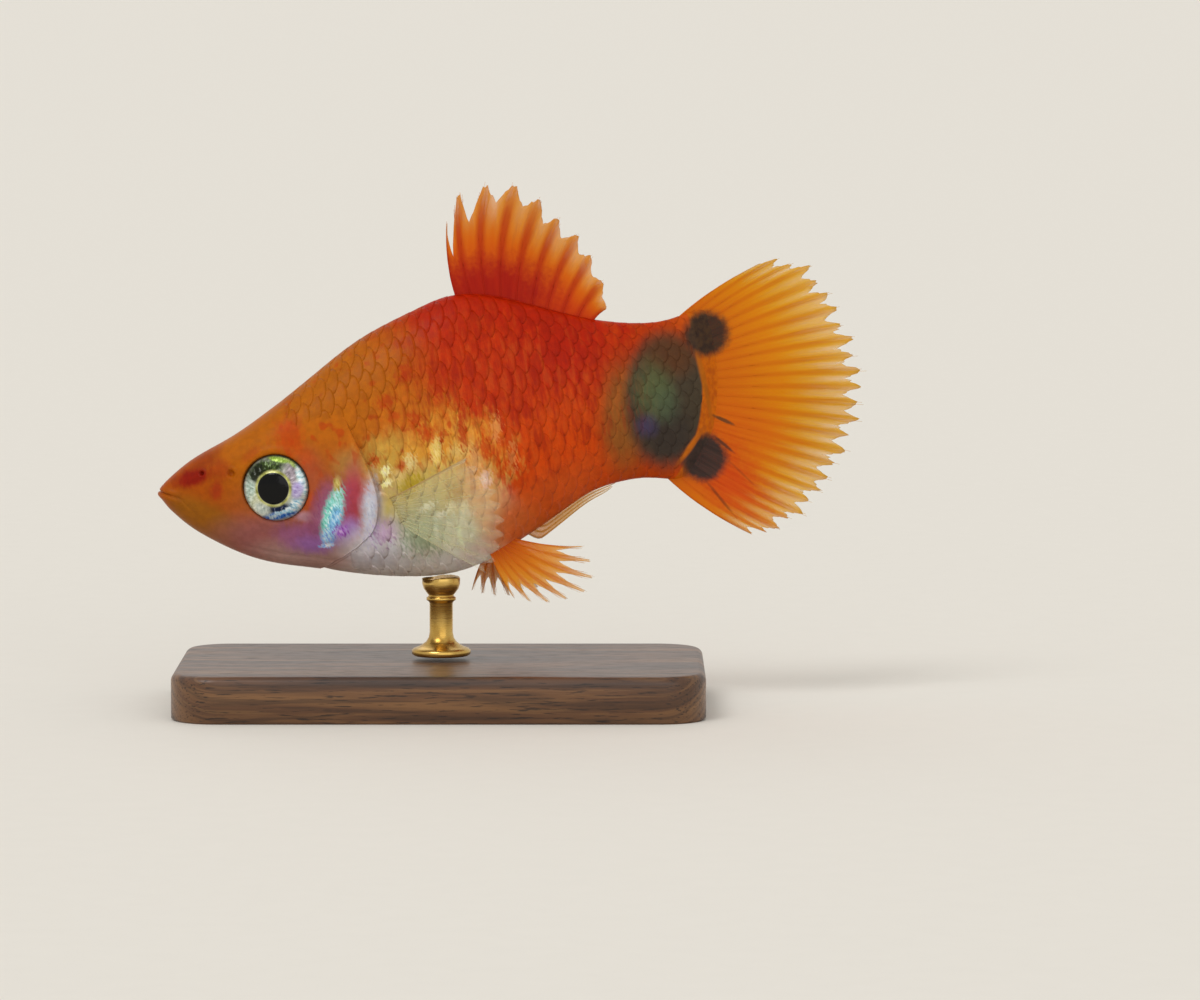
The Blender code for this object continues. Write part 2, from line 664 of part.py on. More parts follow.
def stand_rod(torso, finish):
    """A turned rod with a foot and a cup, its top shaped to the belly."""
    steps = 24
    tree = BVHTree.FromObject(torso, bpy.context.evaluated_depsgraph_get())

    def belly_above(x, y):
        hit = tree.ray_cast(Vector((x * MM, y * MM, 0)), Vector((0, 0, 1)))[0]
        return hit.z / MM

    foot = BASE_HEIGHT + GAP
    cup = belly_above(0, 0) - GAP - ROD_CUP_HEIGHT
    profile = [(ROD_FOOT_RADIUS, foot), (ROD_FOOT_RADIUS, foot + ROD_FOOT_HEIGHT * 0.6)]
    profile += [(ROD_FOOT_RADIUS * 0.75, foot + ROD_FOOT_HEIGHT), (ROD_RADIUS, foot + ROD_FOOT_HEIGHT * 1.3)]
    profile += [(ROD_RADIUS, cup), (ROD_CUP_RADIUS, cup + ROD_CUP_HEIGHT * 0.6), (ROD_CUP_RADIUS, None)]
    profile += [(ROD_CUP_RADIUS * 0.55, None)]
    points, rings = [], []
    for radius, z in profile:
        rings.append(list(range(len(points), len(points) + steps)))
        for i in range(steps):
            turn = math.tau * i / steps
            x, y = radius * math.cos(turn), radius * math.sin(turn)
            points.append((x, y, belly_above(x, y) - GAP if z is None else z))
    faces = [tuple(rings[0])]
    for first, second in zip(rings, rings[1:]):
        faces += strip_faces(first, second)
    points.append((0, 0, belly_above(0, 0) - GAP))
    faces += [(rings[-1][i], rings[-1][(i + 1) % steps], len(points) - 1) for i in range(steps)]
    return solid("stand_rod", points, faces, finish)


def main():
    for old in list(bpy.data.objects):
        bpy.data.objects.remove(old)
    flesh = material("orange flesh", (0.72, 0.2, 0.03), 0.4)
    silver = material("silver eye", (0.62, 0.68, 0.6), 0.25)
    web = material("orange fin", (0.85, 0.3, 0.03), 0.45)
    clear_web = material("clear fin", (0.85, 0.62, 0.4), 0.4)
    wood = material("dark wood", (0.16, 0.09, 0.05), 0.5)
    brass = material("brass", (0.75, 0.55, 0.25), 0.3, metallic=1.0)
    head_parts(flesh)
    for side, word in ((-1, "left"), (1, "right")):
        eye_shape(f"eye_{word}", side, 0.0, silver)
        pelvic_fin(side, web)
        pectoral_fin(side, clear_web)
    torso = body_length("torso", behind(GILL_SEAM), ahead(STALK_SEAM), np.linspace(0, 1, 28), flesh)
    body_length("tail_stalk", behind(STALK_SEAM), ahead(FIN_SEAM), np.linspace(0, 1, 10), flesh)
    dorsal_fin(web)
    caudal_fin(web)
    anal_fin(web)
    stand_base(wood)
    stand_rod(torso, brass)


main()
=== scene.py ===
"""Looks for a life-size male platy fish on a small display stand.

The fish is worked out straight and in millimetres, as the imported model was: s runs from the snout
to the tail, h up and y to its right side. posed() bends it, tips it and lifts it onto its rod, and
a mesh becomes metres when it is made. Every piece of the fish keeps its straight place in an
attribute called lay, as (s, h, y), so that one set of markings runs over skin, scales and fins.
"""

import math
import random

import bpy
import numpy as np
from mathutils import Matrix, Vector


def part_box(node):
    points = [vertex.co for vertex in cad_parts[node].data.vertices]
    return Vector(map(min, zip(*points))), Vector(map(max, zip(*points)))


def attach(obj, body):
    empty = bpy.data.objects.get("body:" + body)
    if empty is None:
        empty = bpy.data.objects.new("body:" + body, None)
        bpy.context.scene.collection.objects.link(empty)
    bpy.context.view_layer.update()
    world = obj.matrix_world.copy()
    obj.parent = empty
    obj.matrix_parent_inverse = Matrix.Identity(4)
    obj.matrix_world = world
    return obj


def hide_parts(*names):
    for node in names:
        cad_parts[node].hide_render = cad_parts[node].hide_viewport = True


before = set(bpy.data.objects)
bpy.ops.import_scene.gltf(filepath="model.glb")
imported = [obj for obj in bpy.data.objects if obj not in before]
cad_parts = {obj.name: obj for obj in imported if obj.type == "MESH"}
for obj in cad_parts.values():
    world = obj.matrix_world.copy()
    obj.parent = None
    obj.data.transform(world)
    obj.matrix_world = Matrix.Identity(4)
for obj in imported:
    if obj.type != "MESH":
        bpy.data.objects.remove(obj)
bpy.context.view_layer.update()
random.seed(7)

MM = 0.001

# The pose and the stand's sizes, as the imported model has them.
BEND_START = 15.0
BEND_RADIUS = 82.0
NOSE_DOWN = math.radians(10.0)
BASE_HEIGHT = 3.0
BELLY_CLEARANCE = 5.5
BALANCE_S = 17.0
GAP = 0.3
HALF_GAP = GAP / 2

# The head's landmarks on the straight fish, as s and h.
NOSE_LENGTH = 0.6
EYE_AT = (7.67, -0.82)
EYE_RADIUS = 2.12
EYE_BULGE = 0.9
EYE_DEPTH = 0.28
PUPIL_RADIUS = 1.02
PUPIL_OFFSET = (-0.01, 0.03)
NOSTRILS = ((5.0, 0.55, 0.24), (3.1, 0.85, 0.15))
MOUTH_CORNER = (1.35, -0.5)

# Scales: the length of body each one shows, the rows between the back and the belly, the columns
# along the body and where the first begins, how thick a scale is, and how deep the skin lies below.
SCALE_PITCH = 0.86
SCALE_ROWS = 14
SCALE_COLUMNS = 36
FIRST_SCALE = 8.0
SCALE_THICKNESS = 0.012
SKIN_INSET = 0.05

# Fin rays are six-sided rods. Each fan of rays spreads from a middle, as s, y and h.
RAY_SIDES = 6
DORSAL_MIDDLE = (23.9, 0, 8.8)
CAUDAL_MIDDLE = (34.8, 0, -0.1)

# The stand's base: its corners' radius and the roundness of its upper edge.
BASE_CORNER = 3.0
BASE_EDGE = 0.5

# The photograph: its scale at the fish, the snout's place in it and the middle of the picture.
PHOTO_MM = 0.0645
PHOTO_SNOUT = (158.6, 492)
PHOTO_MIDDLE = (600, 500)
PHOTO_WIDTH = 1200

# The studio, in metres: the camera's distance, its angle over the level and how far the floor runs.
CAMERA_AWAY = 0.4
CAMERA_RISE = math.radians(5)
FLOOR_REACH = 12


# The body

def spline(points):
    """A smooth curve through a few points, as a function; it stays level with its ends outside them."""
    knots, values = (np.array(column, float) for column in zip(*points))
    gap = np.diff(knots)
    slope = np.diff(values) / gap
    system = np.eye(len(knots))
    right = np.zeros(len(knots))
    for i in range(1, len(knots) - 1):
        system[i, i - 1 : i + 2] = gap[i - 1], 2 * (gap[i - 1] + gap[i]), gap[i]
        right[i] = 6 * (slope[i] - slope[i - 1])
    bend = np.linalg.solve(system, right)

    def at(x):
        x = np.clip(x, knots[0], knots[-1])
        i = np.clip(np.searchsorted(knots, x) - 1, 0, len(gap) - 1)
        after, before = knots[i + 1] - x, x - knots[i]
        curve = (bend[i] * after**3 + bend[i + 1] * before**3) / (6 * gap[i])
        start = values[i] / gap[i] - bend[i] * gap[i] / 6
        end = values[i + 1] / gap[i] - bend[i + 1] * gap[i] / 6
        return curve + start * after + end * before

    return at


BACK = spline([
    (0, 0.2), (2.2, 1.55), (5, 2.6), (8, 4.0), (11.6, 6.0), (14.5, 7.5), (18, 8.65),
    (21, 9.25), (24.5, 8.35), (28, 6.75), (30, 5.95), (32.5, 5.3), (34, 5.15), (36.5, 5.5),
])
BELLY = spline([
    (0, -0.4), (1.2, -2.05), (2.8, -3.55), (5.3, -5.22), (8.4, -6.4), (11.6, -7.42), (15, -8.22),
    (18, -8.46), (20.2, -8.05), (22.5, -7.15), (25.5, -5.8), (27.4, -4.98), (29.5, -4.65),
    (31.2, -4.72), (33, -5.15), (36.5, -5.5),
])
HALF_WIDTH = spline([
    (0, 0.95), (1.2, 1.45), (3, 2.05), (5.3, 2.7), (7.5, 3.15), (10.5, 3.6), (14, 3.9), (18, 3.85),
    (22, 3.25), (26, 2.4), (30, 1.65), (33, 1.15), (36.5, 0.7),
])
WIDEST = spline([
    (0, -0.1), (3, -0.7), (7.5, -1.0), (12, -1.8), (17, -1.9), (22, -0.9), (27, 0.2), (31, 0.3), (36, 0),
])
# How square a section is above and below its widest place; 2 makes an ellipse.
SQUARE_ABOVE = spline([
    (0, 2.6), (5, 2.8), (9, 2.5), (13, 2.1), (18, 1.8), (25, 1.75), (30, 1.9), (36, 2.1),
])
SQUARE_BELOW = spline([(0, 2.2), (5, 2.1), (10, 2.0), (16, 2.15), (22, 2.0), (28, 1.9), (36, 2.1)])
# Where the gill cover ends and the tail fin begins, as s for each h.
GILL_SEAM = spline([(-7.0, 9.0), (-5.6, 12.2), (-3.8, 13.8), (-1.5, 14.0), (2.0, 13.1), (7.5, 12.2)])
FIN_SEAM = spline([(-5.4, 32.7), (-2.9, 34.5), (-0.3, 35.5), (2.6, 35.9), (5.7, 35.6)])
# How far the rays reach from the middle of their fan, from the first ray to the last.
DORSAL_REACH = spline([
    (0, 5.7), (0.11, 6.95), (0.22, 7.4), (0.45, 6.8), (0.67, 6.4), (0.89, 6.9), (1, 6.9),
])
CAUDAL_REACH = spline([
    (0, 10.15), (0.08, 11.85), (0.25, 12.2), (0.55, 12.3), (0.67, 11.8), (0.83, 11.15), (1, 10.1),
])
LEFT_PELVIC_REACH = spline([(0, 3.0), (0.3, 4.6), (0.62, 5.8), (0.82, 5.2), (1, 4.2)])
RIGHT_PELVIC_REACH = spline([(0, 3.1), (0.5, 4.2), (1, 4.6)])


def bump(value, middle, reach):
    """A smooth hump, 1 at the middle and about a third at the distance reach from it."""
    return np.exp(-(((value - middle) / reach) ** 2))


def ease(value, start, end):
    """0 before start, 1 after end and smooth between; start may be the larger."""
    share = np.clip((value - start) / (end - start), 0, 1)
    return share * share * (3 - 2 * share)


def relief(s, h, behind=False):
    """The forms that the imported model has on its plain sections: lips, cheek, gill cover, shoulder.
    behind gives the shoulder's surface where it runs on under the gill cover."""
    lips = 0.13 * bump(s, 0.9, 0.55) * bump(h, -0.35 - 0.3 * s, 0.5)
    cheek = 0.12 * bump(s, 9.6, 1.0) * bump(h, -3.4, 1.6)
    cover = 0.2 * bump(s, 12.2, 1.6) * bump(h, -2.3, 3.2)
    past = s - GILL_SEAM(h)
    shoulder = -0.32 * np.exp(-np.clip(past, 0, None) / 1.1) * bump(h, -2.0, 5.0) * ease(h, 3.2, 1.0)
    return lips + cheek + np.where((past <= 0) & (not behind), cover, shoulder)


def plain_section(s, around):
    """y and h of the plain section at s, at an angle round from the right side and upwards."""
    nose = np.sqrt(1 - (1 - np.clip(s / NOSE_LENGTH, 0, 1)) ** 2)
    upper = np.sin(around) >= 0
    widest = WIDEST(s)
    reach = np.where(upper, BACK(s) - widest, widest - BELLY(s))
    power = 2 / np.where(upper, SQUARE_ABOVE(s), SQUARE_BELOW(s))
    y = HALF_WIDTH(s) * nose * np.sign(np.cos(around)) * np.abs(np.cos(around)) ** power
    h = widest + reach * nose * np.sign(np.sin(around)) * np.abs(np.sin(around)) ** power
    return y, h


def surface(s, around, out=0.0, behind=False):
    """Points of the body, or of a skin that lies out from it, on the straight fish."""
    s, around = np.broadcast_arrays(np.asarray(s, float), np.asarray(around, float))
    y, h = plain_section(s, around)
    step = 0.01
    y_on, h_on = plain_section(s, around + step)
    y_back, h_back = plain_section(s, around - step)
    across, up = h_on - h_back, y_back - y_on
    size = np.hypot(across, up) + 1e-9
    rise = relief(s, h, behind) + out
    return np.stack([s, y + rise * across / size, h + rise * up / size], axis=-1)


def side_reach(s, h):
    """Half the body's width at s and h."""
    widest = WIDEST(s)
    reach = np.where(h >= widest, BACK(s) - widest, widest - BELLY(s))
    square = np.where(h >= widest, SQUARE_ABOVE(s), SQUARE_BELOW(s))
    inside = np.clip(1 - np.abs((h - widest) / reach) ** square, 0, 1)
    return HALF_WIDTH(s) * inside ** (1 / square) + relief(s, h)


def posed(points):
    """Points of the straight fish, moved to where they are on the stand."""
    s, y, h = np.moveaxis(np.asarray(points, float), -1, 0)
    turned = np.clip(s - BEND_START, 0, None) / BEND_RADIUS
    along = np.minimum(s, BEND_START) + BEND_RADIUS * np.sin(turned)
    aside = BEND_RADIUS * (1 - np.cos(turned))
    x = along - y * np.sin(turned) - BALANCE_S
    y = aside + y * np.cos(turned)
    cos, sin = math.cos(NOSE_DOWN), math.sin(NOSE_DOWN)
    h = h - float(BELLY(BALANCE_S))
    x, h = x * cos - h * sin, x * sin + h * cos
    return np.stack([x, y, h + BASE_HEIGHT + BELLY_CLEARANCE], axis=-1)


# Making pieces

def piece(name, points, faces, finish, slot, straight=True, marks=None, unwrap=None):
    """A smooth-shaded object from points in millimetres. straight points are posed and keep their
    place in lay. marks are more attributes. unwrap is a UV place for each point, or for each corner
    of each face."""
    points = np.asarray(points, float)
    mesh = bpy.data.meshes.new(name)
    mesh.from_pydata(((posed(points) if straight else points) * MM).tolist(), [], faces)
    marks = dict(marks or {})
    if straight:
        marks["lay"] = points[:, [0, 2, 1]]
    for label, values in marks.items():
        values = np.asarray(values, float)
        kind = "FLOAT" if values.ndim == 1 else "FLOAT_VECTOR"
        field = "value" if values.ndim == 1 else "vector"
        mesh.attributes.new(label, kind, "POINT").data.foreach_set(field, values.ravel())
    if unwrap is not None:
        layer = mesh.uv_layers.new(name="OFBake")
        unwrap = np.asarray(unwrap, float)
        if len(unwrap) == len(points):
            corners = np.empty(len(mesh.loops), int)
            mesh.loops.foreach_get("vertex_index", corners)
            unwrap = unwrap[corners]
        layer.data.foreach_set("uv", unwrap.ravel())
    mesh.shade_smooth()
    mesh.materials.append(finish)
    made = bpy.data.objects.new(name, mesh)
    bpy.context.scene.collection.objects.link(made)
    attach(made, "root")
    return made


def ring_faces(rings, around, first=0, capped=False):
    """Faces between rings of points that lie one after another; capped closes both ends."""
    faces = []
    for r in range(rings - 1):
        for i in range(around):
            a, b = first + r * around + i, first + r * around + (i + 1) % around
            faces.append((a, b, b + around, a + around))
    if capped:
        last = first + (rings - 1) * around
        faces.append(tuple(range(first + around - 1, first - 1, -1)))
        faces.append(tuple(range(last, last + around)))
    return faces


def plate_faces(columns, rows, first=0):
    """Faces of a closed plate: a grid of points, by column and then row, and the same again behind."""
    faces = []
    for c in range(columns - 1):
        for r in range(rows - 1):
            a = first + c * rows + r
            faces.append((a, a + rows, a + rows + 1, a + 1))
    count = columns * rows
    faces += [tuple(k + count for k in reversed(face)) for face in faces]
    rim = [c * rows for c in range(columns)]
    rim += [(columns - 1) * rows + r for r in range(1, rows)]
    rim += [c * rows + rows - 1 for c in range(columns - 2, -1, -1)]
    rim += range(rows - 2, 0, -1)
    for a, b in zip(rim, rim[1:] + rim[:1]):
        faces.append((first + b, first + a, first + a + count, first + b + count))
    return faces


def thin_plate(middle, half):
    """Points and faces of a closed thin plate about a middle surface; half is half its thickness."""
    columns, rows = middle.shape[:2]
    normal = np.cross(np.gradient(middle, axis=0), np.gradient(middle, axis=1))
    normal /= np.linalg.norm(normal, axis=-1, keepdims=True) + 1e-12
    half = np.broadcast_to(half, (columns, rows))[..., None]
    front, back = middle + normal * half, middle - normal * half
    return np.concatenate([front.reshape(-1, 3), back.reshape(-1, 3)]), plate_faces(columns, rows)


def tubes(paths, radii):
    """Points and faces of round rods along paths, each with its own radius at each point."""
    points, faces = [], []
    turns = (np.arange(RAY_SIDES) * math.tau / RAY_SIDES)[:, None]
    for path, radius in zip(paths, radii):
        heading = np.gradient(path, axis=0)
        heading /= np.linalg.norm(heading, axis=1, keepdims=True)
        aside = np.cross(heading, (0.0, 1.0, 0.0))
        aside /= np.linalg.norm(aside, axis=1, keepdims=True)
        upright = np.cross(aside, heading)
        faces += ring_faces(len(path), RAY_SIDES, len(points), capped=True)
        for i, centre in enumerate(path):
            points.extend(centre + radius[i] * (np.cos(turns) * aside[i] + np.sin(turns) * upright[i]))
    return np.array(points), faces


# Making materials

# Settings and values that many nodes share.
SMOOTH = {"interpolation_type": "SMOOTHSTEP"}
RGBA = {"data_type": "RGBA"}
CLOUD = {"Detail": 3.0, "Roughness": 0.55}


def colour(code):
    """A linear colour from an sRGB hex value."""
    channels = [int(code[i : i + 2], 16) / 255 for i in (1, 3, 5)]
    linear = [c / 12.92 if c <= 0.04045 else ((c + 0.055) / 1.055) ** 2.4 for c in channels]
    return (*linear, 1.0)


def add(tree, kind, inputs=(), out=0, stops=(), **settings):
    """Adds a node and gives back one of its outputs. inputs fill its sockets, in order or by name or
    number, with values or with the outputs that feed them; stops are a ramp's places and colours."""
    node = tree.nodes.new("ShaderNode" + kind)
    for name, value in settings.items():
        setattr(node, name, value)
    for name, value in (inputs if isinstance(inputs, dict) else dict(enumerate(inputs))).items():
        if isinstance(value, bpy.types.NodeSocket):
            tree.links.new(value, node.inputs[name])
        else:
            node.inputs[name].default_value = value
    for i, (place, shade) in enumerate(stops):
        stop = node.color_ramp.elements[i] if i < 2 else node.color_ramp.elements.new(place)
        stop.position, stop.color = place, shade
    return node.outputs[out]


def new_finish(name, inputs):
    """A material with one Principled shader, and its tree and shader."""
    made = bpy.data.materials.new(name)
    made.use_nodes = True
    tree = made.node_tree
    shader = tree.nodes["Principled BSDF"]
    for socket, value in inputs.items():
        shader.inputs[socket].default_value = value
    return made, tree, shader


def feed(tree, shader, sources):
    """Links outputs to the shader's sockets by name."""
    for socket, source in sources.items():
        tree.links.new(source, shader.inputs[socket])


def spread(codes, low=0.34, high=0.66):
    """A ramp's stops: the colours evenly spaced from low to high."""
    return [(low + (high - low) * i / (len(codes) - 1), colour(code)) for i, code in enumerate(codes)]


def place_of(tree):
    """The straight fish's place, and the same with y set to nothing."""
    lay = add(tree, "Attribute", out="Vector", attribute_name="lay")
    return lay, add(tree, "VectorMath", (lay, (1, 1, 0)), operation="MULTIPLY")


# The markings, laid one over another: name, s, h, half length, half height, tilt in degrees,
# softness of the edge, how ragged the edge is, strength, and a colour or several that mottle.
GROUND = "#b4560c"
MARKINGS = [
    ("rear flank", 26.5, 0.5, 10.0, 8.5, 0, 0.45, 0.1, 1.0, "#cb4200"),
    ("stalk", 32.0, 0.5, 3.6, 7.0, -10, 0.5, 0.1, 0.7, "#b23c00"),
    ("crimson back", 24.0, 6.6, 8.5, 4.6, -14, 0.45, 0.9, 1.0, "#ad1e00"),
    ("red flank", 21.5, 3.8, 3.6, 3.6, 0, 0.5, 1.6, 0.9, "#b82e00"),
    # Painted paler than the body's own colour here: partly a painted fill light on this part, which faces
    # down.
    ("rear belly edge", 24.0, -5.2, 4.2, 1.8, 24, 0.5, 0.1, 0.6, "#c85418"),
    ("head", 7.5, -1.2, 6.0, 4.4, 12, 0.5, 0.1, 0.9, "#9c501e"),
    ("forehead", 7.8, 3.0, 6.4, 2.1, 33, 0.4, 0.15, 0.9, "#ac5d00"),
    ("nape", 13.2, 4.2, 4.8, 3.0, 30, 0.5, 0.2, 0.9, "#b25f04"),
    ("snout", 1.4, 0.0, 3.4, 2.6, 0, 0.5, 0.1, 0.9, "#9f4702"),
    ("jaw", 2.9, -2.5, 3.2, 1.3, -40, 0.4, 0.1, 0.9, "#90560c"),
    ("lower cheek", 7.2, -4.3, 3.8, 1.6, -14, 0.5, 0.1, 0.9, "#925755"),
    # Painted paler than the throat's own colour: partly a painted fill light on the underside, which faces
    # down.
    ("throat", 9.8, -6.0, 4.2, 1.3, -14, 0.5, 0.1, 0.9, "#b49087"),
    ("orange shoulder", 16.5, 1.4, 3.2, 2.6, 10, 0.5, 0.9, 0.8, "#bf6710"),
    ("gold shoulder", 15.6, -0.6, 2.2, 1.8, 0, 0.5, 1.0, 0.9, "#c49d43"),
    ("gold flank", 19.0, -0.9, 3.0, 2.6, -10, 0.5, 1.4, 0.9, "#e09730"),
    ("belly", 17.2, -5.0, 4.2, 3.3, 4, 0.4, 0.3, 1.0, "#cccaa8"),
    ("belly gold", 17.8, -2.6, 3.6, 1.6, 6, 0.5, 1.4, 0.85, "#c6ac50"),
    ("belly shade", 16.6, -4.6, 1.2, 1.6, -10, 0.6, 0.2, 0.6, "#8c9478"),
    # Painted paler than the belly's own pale colour: partly a painted fill light on the underside, which
    # faces down.
    ("belly rim", 16.0, -7.9, 5.6, 1.3, -2, 0.6, 0.1, 0.95, "#e4ded6"),
    ("belly end", 20.5, -4.0, 1.1, 3.4, 8, 0.6, 0.9, 0.85, "#dca060"),
    ("belly pink", 19.6, -7.1, 1.2, 0.7, 25, 0.6, 0.2, 0.5, "#bc8c80"),
    # Painted paler than its own colour: partly a painted fill light on this part of the underside, which
    # faces down.
    ("belly fin root", 22.2, -6.0, 1.5, 1.5, 25, 0.7, 0.4, 0.9, "#cc6028"),
    ("cheek", 9.9, -1.0, 1.0, 2.1, -8, 0.5, 0.1, 0.8, "#a54d2b"),
    ("cheek ember", 9.75, -1.9, 0.5, 0.5, 0, 0.6, 0.4, 0.6, "#b0420e"),
    ("cheek rose", 9.3, -4.4, 2.0, 1.0, -12, 0.5, 0.6, 0.8, "#965784"),
    ("cheek violet", 9.5, -4.8, 1.1, 0.6, -8, 0.6, 0.8, 0.7, "#9a6ab2"),
    ("cheek lilac", 9.3, -2.95, 0.75, 0.3, -8, 0.6, 0.6, 0.7, "#b08997"),
    ("cover green", 12.6, -0.2, 1.0, 1.0, 0, 0.6, 0.5, 0.6, "#a17c3d"),
    ("gill rose", 12.45, -2.4, 0.72, 2.2, -14, 0.6, 0.4, 0.85, "#a43a50"),
    ("gill violet", 11.75, -4.3, 0.95, 0.75, 20, 0.7, 0.5, 0.9, "#a886c8"),
    ("shoulder pearl", 13.5, -3.1, 0.6, 1.75, -12, 0.7, 0.8, 0.8, "#bcb4c4"),
    ("breast lilac", 13.4, -5.8, 2.1, 1.3, -10, 0.6, 0.2, 0.9, "#dcd8de"),
    ("breast rose", 14.3, -4.6, 0.8, 0.7, 0, 0.6, 0.3, 0.6, "#b18fae"),
    ("gill shade", 10.3, -2.5, 0.6, 1.9, -25, 0.4, 0.2, 0.7, "#8c4652"),
    ("fin root", 16.0, -2.5, 0.5, 0.45, 0, 0.6, 0.3, 0.7, "#a88c1e"),
    ("snout crest", 3.2, 1.35, 1.5, 0.5, 35, 0.6, 0.8, 0.7, "#8a3004"),
    ("snout stain", 2.45, 0.65, 1.25, 0.5, 8, 0.5, 0.8, 0.95, "#841303"),
    ("snout flush", 4.4, 0.9, 0.6, 0.6, 0, 0.6, 1.0, 0.6, "#98340a"),
    ("lip dash", 3.85, -0.4, 0.4, 0.6, -20, 0.5, 1.0, 0.85, "#98300c"),
    ("brow flush", 9.1, 2.4, 0.85, 1.15, -20, 0.7, 1.4, 0.8, "#b54004"),
    ("brow patch", 9.9, 0.9, 0.45, 0.8, 20, 0.7, 1.2, 0.5, "#b84408"),
    ("brow smudge", 6.5, 1.55, 0.7, 0.3, 30, 0.6, 0.5, 0.6, "#a84808"),
    ("olive rim", 30.3, -0.4, 1.5, 3.3, -10, 0.5, 0.2, 0.75, "#795621"),
    ("spot", 33.2, 0.1, 2.75, 4.2, -10, 0.2, 0.1, 1.0, "#45392b"),
    ("spot rear", 34.3, 0.3, 1.6, 2.9, -10, 0.14, 0.05, 1.0, "#44392a"),
    ("spot crown", 33.9, 2.9, 1.9, 1.3, -10, 0.6, 0.3, 0.75, "#5e3518"),
    ("spot foot", 33.0, -2.3, 1.7, 1.7, -10, 0.6, 0.2, 0.7, "#342c28"),
    ("spot green", 32.4, 0.9, 1.2, 1.6, 0, 0.7, 0.6, 0.8, "#555f3a"),
    ("spot blue", 31.6, -1.3, 0.7, 0.7, 0, 0.6, 0.5, 0.6, "#453c60"),
    ("spot teal", 33.0, -0.2, 0.9, 1.0, 0, 0.8, 0.7, 0.4, "#4a5c46"),
]
